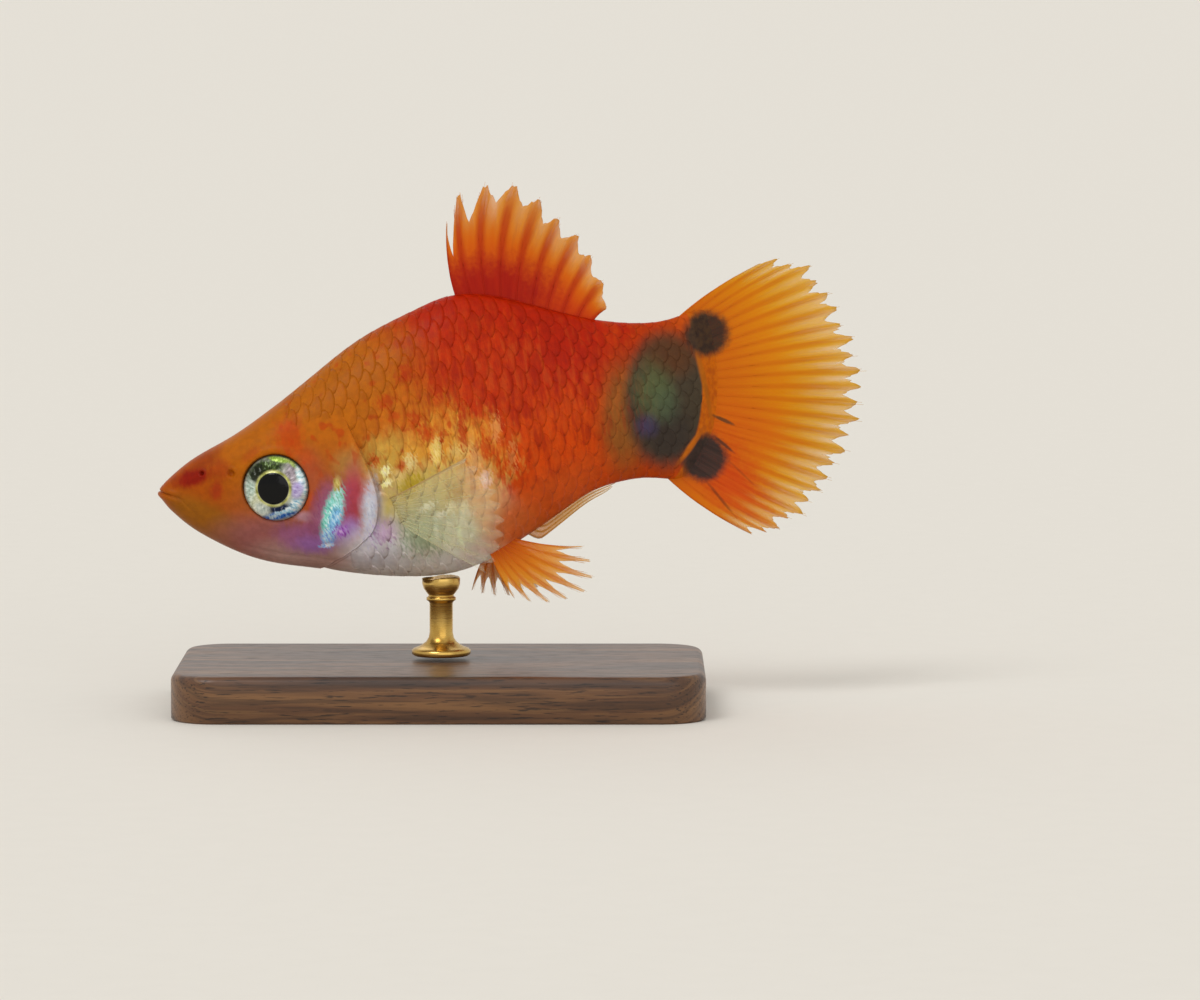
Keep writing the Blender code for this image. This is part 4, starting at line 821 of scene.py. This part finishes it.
def sculpt(s, h):
    """How far the finer forms of the head stand out from the body, or lie under it."""
    mouth = MOUTH_CORNER[1] + (s - MOUTH_CORNER[0]) * (MOUTH_CORNER[1] - 0.12) / MOUTH_CORNER[0]
    near = ease(s, MOUTH_CORNER[0] + 0.25, MOUTH_CORNER[0] - 0.25)
    form = -0.15 * near * bump(h, mouth, 0.06)
    form += 0.06 * near * (bump(h, mouth + 0.24, 0.17) + bump(h, mouth - 0.26, 0.2))
    # The fold that runs down behind the mouth's corner.
    fold = (h - MOUTH_CORNER[1]) + 1.35 * (s - MOUTH_CORNER[0])
    form -= 0.05 * bump(fold, 0.0, 0.12) * ease(h, -1.9, -1.3) * ease(h, -0.3, -0.7)
    for pit_s, pit_h, radius in NOSTRILS:
        away = np.hypot(s - pit_s, h - pit_h) / radius
        form += -0.25 * ease(away, 1.1, 0.6) + 0.04 * bump(away, 1.45, 0.35)
    away = np.hypot(s - EYE_AT[0], h - EYE_AT[1])
    rim = 0.06 * bump(away, EYE_RADIUS + 0.3, 0.22)
    form += -0.85 * ease(away, EYE_RADIUS + 0.06, EYE_RADIUS - 0.16) + rim
    # The front edge of the gill cover and the line of the gill membranes under the throat.
    edge = 10.15 + 0.035 * (h + 2.6) ** 2
    form -= 0.05 * bump(s, edge, 0.12) * ease(h, 1.4, 0.4) * ease(h, -6.0, -5.2)
    line = BELLY(s) + 0.85
    form -= 0.04 * bump(h, line, 0.12) * ease(s, 4.2, 6.0) * ease(s, 12.4, 11.4)
    return form


def unwrapped(s, turn):
    """The skin laid out flat, cut open along the belly: a UV place for s and an angle."""
    return np.stack(np.broadcast_arrays(0.02 + s / 40, 0.01 + 0.975 * (turn / math.tau + 0.25)), axis=-1)


def body_skin(finish):
    """One skin from the lips to a thin edge over the roots of the tail fin's rays."""
    around, front_length = 208, 13.6
    angles = (np.arange(around) + 0.5) * math.tau / around - math.pi / 2
    nose = [0.5 * NOSE_LENGTH * (1 - math.cos(math.radians(6 * k))) for k in range(1, 12)]
    nose += list(np.arange(NOSE_LENGTH * 0.52, front_length, 0.085))
    front = [s / front_length for s in nose] + [1.0]
    back = [0.001, 0.003, 0.006] + list(np.linspace(0.012, 1.0, 150))
    edge = [0.15, 0.3, 0.45, 0.6, 0.75, 0.9, 1.05, 1.2, 1.35, 1.5]
    # Each ring lies at a share of the gill seam, between the two seams, or a little past the fin's.
    of_gill = np.array(front + [1 - share for share in back] + [0.0] * len(edge))[:, None]
    of_fin = np.array([0.0] * len(front) + back + [1.0] * len(edge))[:, None]
    beyond = np.array([-1e-6] * len(front) + [0.0] * len(back) + edge)[:, None]
    s = of_gill * 13 + of_fin * 35 + beyond + 0 * angles
    for _ in range(40):
        h = surface(s, angles)[..., 2]
        s = (s + of_gill * GILL_SEAM(h) + of_fin * FIN_SEAM(h) + beyond) / 2
    grid = surface(s, angles)
    thin = 1 - 0.985 * ease(np.clip(beyond, 0, None), 0.0, 1.5)
    grid[..., 1] *= thin
    grid[..., 2] *= 1 - 0.02 * np.clip(beyond, 0, None)
    turned = np.concatenate([grid[:, -1:], grid, grid[:, :1]], axis=1)
    normal = np.cross(np.gradient(turned, axis=1)[:, 1:-1], np.gradient(grid, axis=0))
    normal /= np.linalg.norm(normal, axis=-1, keepdims=True) + 1e-12
    s, y, h = np.moveaxis(grid, -1, 0)
    outward = np.sign((normal[..., 1] * y + normal[..., 2] * (h - WIDEST(s))).sum())
    depth = sculpt(s, h) - SKIN_INSET * ease(s, 7.0, 10.0) * ease(s, 36.0, 35.0)
    grid = grid + normal * outward * depth[..., None]
    count = len(grid)
    points = np.concatenate([grid.reshape(-1, 3), [[0.0, 0.0, float(WIDEST(0.0))]]])
    open_turns = np.append(angles, angles[0] + math.tau)
    laid = unwrapped(grid[:, list(range(around)) + [0], 0], open_turns)
    faces, corners = ring_faces(count, around), []
    for r in range(count - 1):
        for i in range(around):
            corners += [laid[r, i], laid[r, i + 1], laid[r + 1, i + 1], laid[r + 1, i]]
    for i in range(around):
        faces.append(((i + 1) % around, i, len(points) - 1))
        corners += [laid[0, i + 1], laid[0, i], unwrapped(-0.3, (open_turns[i] + open_turns[i + 1]) / 2)]
    last = (count - 1) * around
    half = around // 2
    for i in range(half - 1):
        faces.append((last + i, last + i + 1, last + around - 2 - i, last + around - 1 - i))
        here, on = (i + 0.5) / half, (i + 1.5) / half
        corners += [(0.97, here), (0.97, on), (0.98, on), (0.98, here)]
    seams = np.stack([
        points[:, 0] - GILL_SEAM(points[:, 2]),
        points[:, 0] - FIN_SEAM(points[:, 2]),
        0 * points[:, 0],
    ], axis=-1)
    made = piece("body_skin", points, faces, finish, "skin", marks={"seams": seams}, unwrap=corners)
    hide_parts("head", "lower_jaw", "gill_cover_left", "gill_cover_right", "torso", "tail_stalk")


# The scales

def girth_angles():
    """For s and a share of the way from the back to the belly, the angle round the right side."""
    lengths = np.arange(0, 36.6, 0.3)
    turns = np.linspace(math.pi / 2, -math.pi / 2, 121)
    shares = np.linspace(0, 1, 101)
    table = []
    for s in lengths:
        line = surface(s, turns)
        run = np.concatenate([[0], np.cumsum(np.linalg.norm(np.diff(line, axis=0), axis=1))])
        table.append(np.interp(shares, run / run[-1], turns))
    table = np.array(table)

    def at(s, share):
        x = np.clip(s / 0.3, 0, len(lengths) - 1.001)
        q = np.clip(np.abs(share), 0, 0.9999) * 100
        i, j = x.astype(int), q.astype(int)
        x, q = x - i, q - j
        near = table[i, j] * (1 - q) + table[i, j + 1] * q
        far = table[i + 1, j] * (1 - q) + table[i + 1, j + 1] * q
        turn = near * (1 - x) + far * x
        return np.where(share < 0, math.pi - turn, turn)

    return at


def bears_scale(s, h):
    """Whether a scale grows here: behind the gill covers or on the nape, and ahead of the tail fin."""
    on_nape = h > 2.4 + 0.12 * (13 - s) and s > 8.6
    under_throat = h < -5.5 and s < 12.3
    behind_cover = s - GILL_SEAM(h) >= 0.3
    return not under_throat and (behind_cover or on_nape) and s <= FIN_SEAM(h) - 0.25


def scales(finish):
    """Overlapping round scales from the nape and the gill covers to the tail fin, in staggered rows."""
    angle_at = girth_angles()
    across, along = 7, 8
    count = across * along
    u, v = np.meshgrid(np.linspace(-1, 1, across), np.linspace(0, 1, along), indexing="ij")
    front, rear = 0.85 * SCALE_PITCH, 0.62 * SCALE_PITCH
    reach = -front + (front + rear * np.sqrt(1 - 0.82 * u**2)) * v
    points, faces, marks, patches = [], [], [], []
    row_share = 1 / SCALE_ROWS
    for row in range(-SCALE_ROWS, SCALE_ROWS + 1):
        for column in range(SCALE_COLUMNS):
            s = FIRST_SCALE + SCALE_PITCH * (column + 0.5 * (row % 2))
            share = row * row_share + random.uniform(-0.06, 0.06) * row_share
            h = surface(np.array([s]), angle_at(np.array([s]), np.array([share])), 0.0, True)[0, 2]
            # The first row would lie on the last one, and the back fin stands in the middle row.
            under_fin = row == 0 and 20.4 < s < 29.9
            if row == -SCALE_ROWS or under_fin or not bears_scale(s, h):
                continue
            spread_out = share + 0.86 * row_share * u * (0.86 + 0.14 * np.sin(math.pi * v))
            place = np.clip(s + reach, 0, 36.4)
            # Scales on the belly and the nape lie flatter than those on the flank.
            rise = 0.026 - 0.015 * max(ease(h, -1.5, -5.0), ease(s, 15.0, 10.0))
            lift = -0.052 + rise * v + 0.006 * (1 - u**2) + random.uniform(-0.002, 0.002)
            top = surface(place, angle_at(place, spread_out), lift, True)
            under = surface(place, angle_at(place, spread_out), lift - SCALE_THICKNESS, True)
            faces += plate_faces(across, along, len(points) * count)
            points += [top.reshape(-1, 3), under.reshape(-1, 3)]
            tone = np.full_like(u, random.random())
            marks += [np.stack([u, v, tone], axis=-1).reshape(-1, 3)] * 2
            root = np.array([s - front])
            patch = unwrapped(root, angle_at(root, np.array([share])))
            patches += [patch + 0.0015 * np.stack([v * 2 - 1, u], axis=-1).reshape(-1, 2)] * 2
    piece("body_scales", np.concatenate(points), faces, finish, "skin",
          marks={"scale": np.concatenate(marks)}, unwrap=np.concatenate(patches))


# The eyes

def eye_frame(side):
    """The eye's middle and its outward, forward and upward directions, on the straight fish."""
    s, h = EYE_AT
    step = 0.8
    along = np.array([2 * step, side * (side_reach(s + step, h) - side_reach(s - step, h)), 0])
    upright = np.array([0, side * (side_reach(s, h + step) - side_reach(s, h - step)), 2 * step])
    outward = np.cross(along, upright) * -side
    outward /= np.linalg.norm(outward)
    along /= np.linalg.norm(along)
    upright = np.cross(outward, along) * -side
    middle = np.array([s, side * side_reach(s, h), h]) - outward * EYE_DEPTH
    return middle, outward, along, upright


def eye(side, finish):
    """An eyeball flattened from the side, with its pupil a little proud of the iris."""
    middle, outward, along, upright = eye_frame(side)
    steps = 72
    angles = np.radians(np.concatenate([np.linspace(90, -20, 40), np.linspace(-35, -90, 5)]))
    points, marks = [], []
    for angle in angles:
        radius, out = EYE_RADIUS * math.cos(angle), EYE_BULGE * math.sin(angle)
        for i in range(steps):
            turn = math.tau * i / steps
            x, z = radius * math.cos(turn), radius * math.sin(turn)
            away = math.hypot(x - PUPIL_OFFSET[0], z - PUPIL_OFFSET[1])
            rise = 0.07 * float(ease(away, PUPIL_RADIUS + 0.04, PUPIL_RADIUS - 0.1)) if angle > 0 else 0.0
            points.append(middle + outward * (out + rise) + along * x + upright * z)
            marks.append((x, z, out))
    faces = ring_faces(len(angles), steps)
    if side > 0:
        faces = [tuple(reversed(face)) for face in faces]
    word = "left" if side < 0 else "right"
    made = piece(f"eye_ball_{word}", points, faces, finish, "eye", marks={"iris": marks})
    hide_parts(f"eye_{word}")


# The fins. Each gives a point of its middle surface for u across its rays and v along them.

def direction(turn):
    """A direction in the fish's middle plane, turned up from its tail."""
    return np.stack([np.cos(turn), 0 * turn, np.sin(turn)], axis=-1)


def slant(seam, h):
    """How much longer a gap is along the fish than squarely across a slanted seam."""
    step = 0.05
    return np.hypot(1, (seam(h + step) - seam(h - step)) / (2 * step))


def between(root, tip, v, bow, wave):
    """A point on a ray from root to tip, bowed within the fin and waved from side to side."""
    ray = tip - root
    side = np.stack([-ray[..., 2], 0 * ray[..., 0], ray[..., 0]], axis=-1)
    v = v[..., None]
    sway = np.zeros_like(ray)
    sway[..., 1] = wave
    return root + ray * v + side * np.asarray(bow)[..., None] * 4 * v * (1 - v) + sway * v * v


def dorsal_surface(u, v):
    """The back fin: its root runs 8.3 mm along the ridge, and its rays lean from 116 degrees to -18."""
    s = 21.15 + 8.3 * u
    root = np.stack([s, 0 * s, BACK(s) - 0.25], axis=-1)
    turn = np.radians(116.5 - 135 * u)
    reach = DORSAL_REACH(u) * (1 + 0.02 * np.sin(2.3 * 9 * u))
    tip = np.array(DORSAL_MIDDLE) + reach[..., None] * direction(turn)
    wave = 0.3 * np.sin(3.4 * math.pi * u + 0.6)
    return between(root, tip, v, 0.05 + 0 * u, wave)


def caudal_surface(u, v):
    """The tail fin: its rays spread from 49 degrees above the body's line to 74 below it."""
    h = 5.25 - 10.25 * u
    s = FIN_SEAM(h) + HALF_GAP * slant(FIN_SEAM, h) - 0.6
    root = np.stack([s, 0 * s, h * 0.98], axis=-1)
    turn = np.radians(49 - 123 * u)
    reach = CAUDAL_REACH(u) * (1 + 0.02 * np.sin(2.6 * 24 * u))
    tip = np.array(CAUDAL_MIDDLE) + reach[..., None] * direction(turn)
    wave = 0.6 * np.sin(3.4 * math.pi * u + 0.6)
    return between(root, tip, v, 0.04 * (1 - 2 * u), wave)


def pelvic_surface(side):
    """The belly fin on one side."""
    left = side < 0
    splay = math.radians(16 if left else 34)
    first_turn, last_turn = (74, 17) if left else (116, 48)
    reach = LEFT_PELVIC_REACH if left else RIGHT_PELVIC_REACH
    down = np.array([0, side * math.sin(splay), -math.cos(splay)])

    def at(u, v):
        root = surface(20.35 + 1.5 * u, np.full_like(u, math.radians(270 + side * 19))) - down * 0.25
        turn = np.radians(first_turn + (last_turn - first_turn) * u)
        run = down * np.sin(turn)[..., None] + np.array([1.0, 0, 0]) * np.cos(turn)[..., None]
        return between(root, root + (reach(u) + 0.5)[..., None] * run, v, -0.04 + 0 * u, 0 * u)

    return at


def pectoral_surface(side):
    """The side fin: it leaves the shoulder squarely, then turns back beside the belly."""
    def at(u, v):
        s, h = 14.75 + 0.45 * u, -2.7 - 1.7 * u
        skin = np.stack([s, side * side_reach(s, h), h], axis=-1)
        turn = np.radians(21 - 61 * u)
        length = 4.6 + 2.2 * np.sin(math.pi * (0.15 + 0.6 * u))
        lift = -0.2 + 1.5 * (1 - np.exp(-v / 0.09)) + 1.7 * v
        out = np.stack([0 * lift, side * lift, 0 * lift], axis=-1)
        return skin + direction(turn) * (length * v)[..., None] + out

    return at


def anal_surface(u, v):
    """The narrow fin that a male carries folded back along the belly."""
    start = 22.65 + 1.0 * u
    s = start + (29.35 - 0.25 * (1 - u) - start) * v
    width = (0.85 - 0.4 * v) * ease(v, 0, 0.2) * np.sqrt(1 - np.clip((v - 0.82) / 0.19, 0, 1) ** 2)
    depth = -0.35 + 0.24 * ease(v, 0, 0.15) + (1 - u) * width
    return np.stack([s, 0 * s, BELLY(s) - depth], axis=-1)


def fin(name, at, finishes, slot, rays, splits, notches, web, rod, across=6, along=26, cut=0.8):
    """A membrane with its rays, for the node of the same name. Each ray forks at every value in
    splits into a narrow bundle. Between two bundles the membrane ends short of the tips by a notch,
    one for all gaps or one for each, and a smaller cut follows the rays closer. web is half the
    membrane's thickness and rod a ray's radius at its root. The membrane has across columns in each
    gap and along rows."""
    spacing = 1 / (rays - 1)
    shifts = [(split, spacing * 0.13 / 2**i) for i, split in enumerate(splits)]
    paths, radii, owner = [], [], []
    for k in range(rays):
        for tip in range(2 ** len(splits)):
            bits = [tip >> (len(splits) - 1 - i) & 1 for i in range(len(splits))]
            last = max([i for i, bit in enumerate(bits) if bit], default=-1)
            start = 0.0 if last < 0 else splits[last] - 0.01
            off_middle = abs(2 * tip + 1 - 2 ** len(splits)) / 2 ** len(splits)
            end = 1.0 - 0.13 * off_middle**2 - random.uniform(0.0, 0.05)
            v = np.linspace(start, end, 12 + int(16 * (1 - start)))
            u = np.full_like(v, k * spacing)
            thick = rod * (1 - 0.72 * v)
            for bit, (split, shift) in zip(bits, shifts):
                u += (1 if bit else -1) * shift * ease(v, split, split + 0.35)
                thick = thick * (1 - 0.3 * ease(v, split - 0.03, split + 0.12))
            paths.append(at(np.clip(u, 0, 1), v))
            radii.append(thick)
            owner += [(k, step, 0) for step in v for _ in range(RAY_SIDES)]
    points, faces = tubes(paths, radii)
    piece(f"{name}_rays", points, faces, finishes[1], slot, marks={"fin": owner})

    columns = (rays - 1) * across + 1
    u = np.linspace(0, 1, columns)
    gap = np.minimum((u / spacing).astype(int), rays - 2)
    away = np.abs(u / spacing - np.round(u / spacing))
    short = np.broadcast_to(notches, rays - 1)[gap] * np.clip((away - 0.08) / 0.42, 0, 1) ** cut
    end = 0.97 - short - np.array([random.uniform(0, 0.03) for _ in u])
    grid_u = np.repeat(u[:, None], along, axis=1)
    grid_v = end[:, None] * np.linspace(0, 1, along)[None, :]
    points, faces = thin_plate(at(grid_u, grid_v), web * (1 - 0.7 * grid_v))
    mark = np.stack([grid_u / spacing, grid_v, 0 * grid_u], axis=-1).reshape(-1, 3)
    flat = np.stack([0.01 + 0.98 * grid_u, 0.01 + 0.48 * grid_v], axis=-1).reshape(-1, 2)
    membrane = piece(
        f"{name}_membrane", points, faces, finishes[0], slot,
        marks={"fin": np.concatenate([mark, mark])}, unwrap=np.concatenate([flat, flat + (0, 0.5)]),
    )
    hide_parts(name)


# The stand

def walnut_base(finish):
    """A board with rounded corners and a softened upper edge."""
    (left, front, foot), (right, back, top) = [[c / MM for c in corner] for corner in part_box("stand_base")]
    corners = ((right, back), (left, back), (left, front), (right, front))
    steps = 16
    # Each row of points is drawn in from the board's side by an inset.
    rows = [(0.15, foot), (0.0, foot + 0.15)]
    rows += [
        (
            BASE_EDGE * (1 - math.cos(math.radians(turn))),
            top - BASE_EDGE + BASE_EDGE * math.sin(math.radians(turn)),
        )
        for turn in range(0, 91, 10)
    ]
    rows += [(BASE_EDGE + more, top) for more in (0.4, 1.5, 2.4)]
    points = []
    for inset, z in rows:
        radius = BASE_CORNER - inset
        for quarter, (x, y) in enumerate(corners):
            middle = (x - BASE_CORNER * math.copysign(1, x), y - BASE_CORNER * math.copysign(1, y))
            for i in range(steps):
                turn = (quarter + i / (steps - 1)) * math.pi / 2
                points.append((middle[0] + radius * math.cos(turn), middle[1] + radius * math.sin(turn), z))
    faces = ring_faces(len(rows), 4 * steps, capped=True)
    base = piece("walnut_base", points, faces, finish, "stand_wood", straight=False)
    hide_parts("stand_base")


def brass_rod(finish):
    """A turned rod: a round foot, a slim stem with a ring, and a cup cut to the belly."""
    low, high = (corner[2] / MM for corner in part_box("stand_rod"))
    cup = high - 1.35
    # The turned profile, as radius and height.
    profile = [
        (1.75, low), (1.9, low + 0.12), (1.9, low + 0.34), (1.78, low + 0.46), (1.6, low + 0.52),
        (1.42, low + 0.6), (1.2, low + 0.72), (0.98, low + 0.9), (0.82, low + 1.15), (0.75, low + 1.5),
        (0.75, cup - 0.5), (0.84, cup - 0.36), (0.95, cup - 0.3), (0.95, cup - 0.14), (0.84, cup - 0.06),
        (0.8, cup), (0.95, cup + 0.2), (1.13, cup + 0.45), (1.22, cup + 0.75), (1.23, high - 0.25),
    ]
    turns = [i * math.tau / 64 for i in range(64)]
    points = []
    for radius, z in profile:
        points += [(radius * math.cos(turn), radius * math.sin(turn), z) for turn in turns]
    # Two rings of the cup's seat, just under the belly.
    for radius in (1.19, 0.8):
        for turn in turns:
            x, y = radius * math.cos(turn), radius * math.sin(turn)
            points.append((x, y, belly_above(x, y) - 0.34))
    faces = ring_faces(len(profile) + 2, len(turns), capped=True)
    rod = piece("brass_rod", points, faces, finish, "stand_brass", straight=False)
    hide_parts("stand_rod")


def belly_above(x, y):
    """How high the belly is over a point of the stand, in millimetres."""
    s = np.linspace(12, 22, 201)
    turns = np.radians(np.linspace(200, 340, 141))
    grid = posed(surface(s[:, None], turns[None, :]))
    away = np.hypot(grid[..., 0] - x, grid[..., 1] - y)
    return float(grid[..., 2].ravel()[away.argmin()])


# The stage

def studio_floor():
    """A pale sheet of paper, far wider than the picture."""
    mesh = bpy.data.meshes.new("studio_floor")
    corners = [(-1, -1), (1, -1), (1, 1), (-1, 1)]
    mesh.from_pydata([(x * FLOOR_REACH, y * FLOOR_REACH, 0) for x, y in corners], [], [(0, 1, 2, 3)])
    mesh.materials.append(paper_finish("matt_paper"))
    floor = bpy.data.objects.new("studio_floor", mesh)
    bpy.context.scene.collection.objects.link(floor)


def camera():
    """A camera that sees the fish's left side as the photograph does."""
    snout = posed(np.array([0.0, 0.0, 0.0]))
    aim = Vector((
        snout[0] + (PHOTO_MIDDLE[0] - PHOTO_SNOUT[0]) * PHOTO_MM,
        0.0,
        snout[2] - (PHOTO_MIDDLE[1] - PHOTO_SNOUT[1]) * PHOTO_MM,
    )) * MM
    back = Vector((0, -math.cos(CAMERA_RISE), math.sin(CAMERA_RISE)))
    made = bpy.data.objects.new("camera", bpy.data.cameras.new("camera"))
    made.data.lens = made.data.sensor_width * CAMERA_AWAY / (PHOTO_WIDTH * PHOTO_MM * MM)
    made.data.clip_start = 0.01
    made.data.clip_end = 10
    made.location = aim + back * CAMERA_AWAY
    made.rotation_euler = (-back).to_track_quat("-Z", "Y").to_euler()
    bpy.context.scene.collection.objects.link(made)
    bpy.context.scene.camera = made


def lights():
    """Three soft lamps, from above, from the camera's side and from behind, in an even pale room."""
    for label, aim, power, width in (
        ("key", (0.45, 0.62, -0.95), 0.92, 26),
        ("front", (-0.3, 1.0, -0.12), 0.72, 60),
        ("rim", (0.1, -0.9, -0.7), 0.14, 30),
    ):
        lamp = bpy.data.objects.new(f"{label}_light", bpy.data.lights.new(f"{label}_light", "SUN"))
        lamp.data.energy = power
        lamp.data.angle = math.radians(width)
        lamp.rotation_euler = Vector(aim).to_track_quat("-Z", "Y").to_euler()
        bpy.context.scene.collection.objects.link(lamp)
    room = bpy.data.worlds.new("studio")
    room.use_nodes = True
    glow = room.node_tree.nodes["Background"]
    glow.inputs["Color"].default_value = colour("#e6e4e0")
    glow.inputs["Strength"].default_value = 0.88
    bpy.context.scene.world = room
    bpy.context.scene.view_settings.view_transform = "Standard"


def tail_finishes():
    """Gold rays in an orange membrane, redder in the lower lobe, with the body's spots at its root."""
    codes = ["#be5c00", "#c86800", "#d07c00", "#da9810", "#e4ae28"]
    markings = [
        ("middle lobe", 38.6, -3.0, 3.2, 1.5, -30, 0.8, 0.5, 0.6, ("#c85404", "#d06008")),
        ("lower lobe", 36.7, -6.0, 3.6, 1.9, -56, 0.8, 0.5, 0.9, ("#be3604", "#c84808")),
        ("lower streak", 35.8, -6.9, 1.3, 0.09, -61, 0.6, 0.5, 0.7, "#6c3010"),
        ("lower streak two", 37.5, -5.5, 1.1, 0.07, -53, 0.6, 0.5, 0.5, "#8c3c10"),
    ] + FIN_ROOT_MARKINGS
    return (
        fin_finish("tail_membrane", codes, "#c05a00", (0.98, 0.76), markings, gaps=0.28, rays=0.5),
        fin_finish("tail_ray", codes, "#c05a00", (1.0, 0.75), markings, True, rays=0.5),
    )


def back_finishes():
    """Crimson at the root of the back fin, orange further out."""
    codes = ["#bc2e00", "#c44400", "#cc5e02", "#d8801a", "#e09a34"]
    markings = [("red root", 23.4, 9.0, 3.6, 1.9, -12, 0.6, 0.8, 1.0, ("#981404", "#a41c04"))]
    return (
        fin_finish("back_membrane", codes, "#ac2400", (0.97, 0.8), markings, gaps=0.25),
        fin_finish("back_ray", codes, "#a82200", (1.0, 0.8), markings, True),
    )


def belly_finishes():
    """The belly fins: orange rays in a membrane that is almost clear at its edge."""
    codes = ["#cc4c06", "#da7c14", "#e29c2c", "#e8b850"]
    return (
        fin_finish("belly_membrane", codes, "#d06c0c", (0.8, 0.4), gaps=0.75),
        fin_finish("belly_ray", codes, "#cc6008", (0.97, 0.6), on_ray=True),
    )


def clear_finishes():
    """The side fins: almost clear, with a brown leading ray."""
    # Pale cream, paler than the clear fin's own colour, so that its rays show as pale streaks over the
    # belly: partly a painted glint on the rays.
    codes = ["#dcd6a8", "#e4deb8", "#ece6cc"]
    return (
        fin_finish("clear_membrane", codes, "#d8d0a0", (0.13, 0.09), leading="#b07a14"),
        fin_finish("clear_ray", codes, "#d8d0a0", (0.2, 0.13), on_ray=True, leading="#b07a14"),
    )


def anal_finishes():
    """The folded fin under the belly: pale orange, half clear."""
    codes = ["#d88c30", "#e0a848", "#e6c078"]
    return (
        fin_finish("anal_membrane", codes, "#d09438", (0.6, 0.4)),
        fin_finish("anal_ray", codes, "#cc8c30", (0.7, 0.5), on_ray=True),
    )


def main():
    tail, back, belly, clear, anal = (
        make() for make in (tail_finishes, back_finishes, belly_finishes, clear_finishes, anal_finishes)
    )
    iris = eye_finish("silver_eye")
    body_skin(skin_finish("wet_skin", False))
    scales(skin_finish("wet_scales", True))
    for side, word in ((-1, "left"), (1, "right")):
        eye(side, iris)
        fin(f"pelvic_fin_{word}", pelvic_surface(side), belly, "fin", rays=8, splits=(0.3, 0.55, 0.75),
            notches=0.36, web=0.035, rod=0.06, across=14, cut=0.5)
        fin(f"pectoral_fin_{word}", pectoral_surface(side), clear, "clear_fin", rays=10, splits=(0.6,),
            notches=0.08, web=0.02, rod=0.045)
    fin("dorsal_fin", dorsal_surface, back, "fin", rays=10, splits=(0.3, 0.5, 0.7),
        notches=[0.5, 0.3] + [0.14] * 7, web=0.04, rod=0.08, across=12)
    fin("caudal_fin", caudal_surface, tail, "fin", rays=25, splits=(0.35, 0.65),
        notches=0.09, web=0.04, rod=0.06, across=10)
    fin("anal_fin", anal_surface, anal, "clear_fin", rays=4, splits=(), notches=0.02, web=0.08, rod=0.07)
    walnut_base(wood_finish("oiled_walnut"))
    brass_rod(brass_finish("turned_brass"))
    studio_floor()
    camera()
    lights()


main()
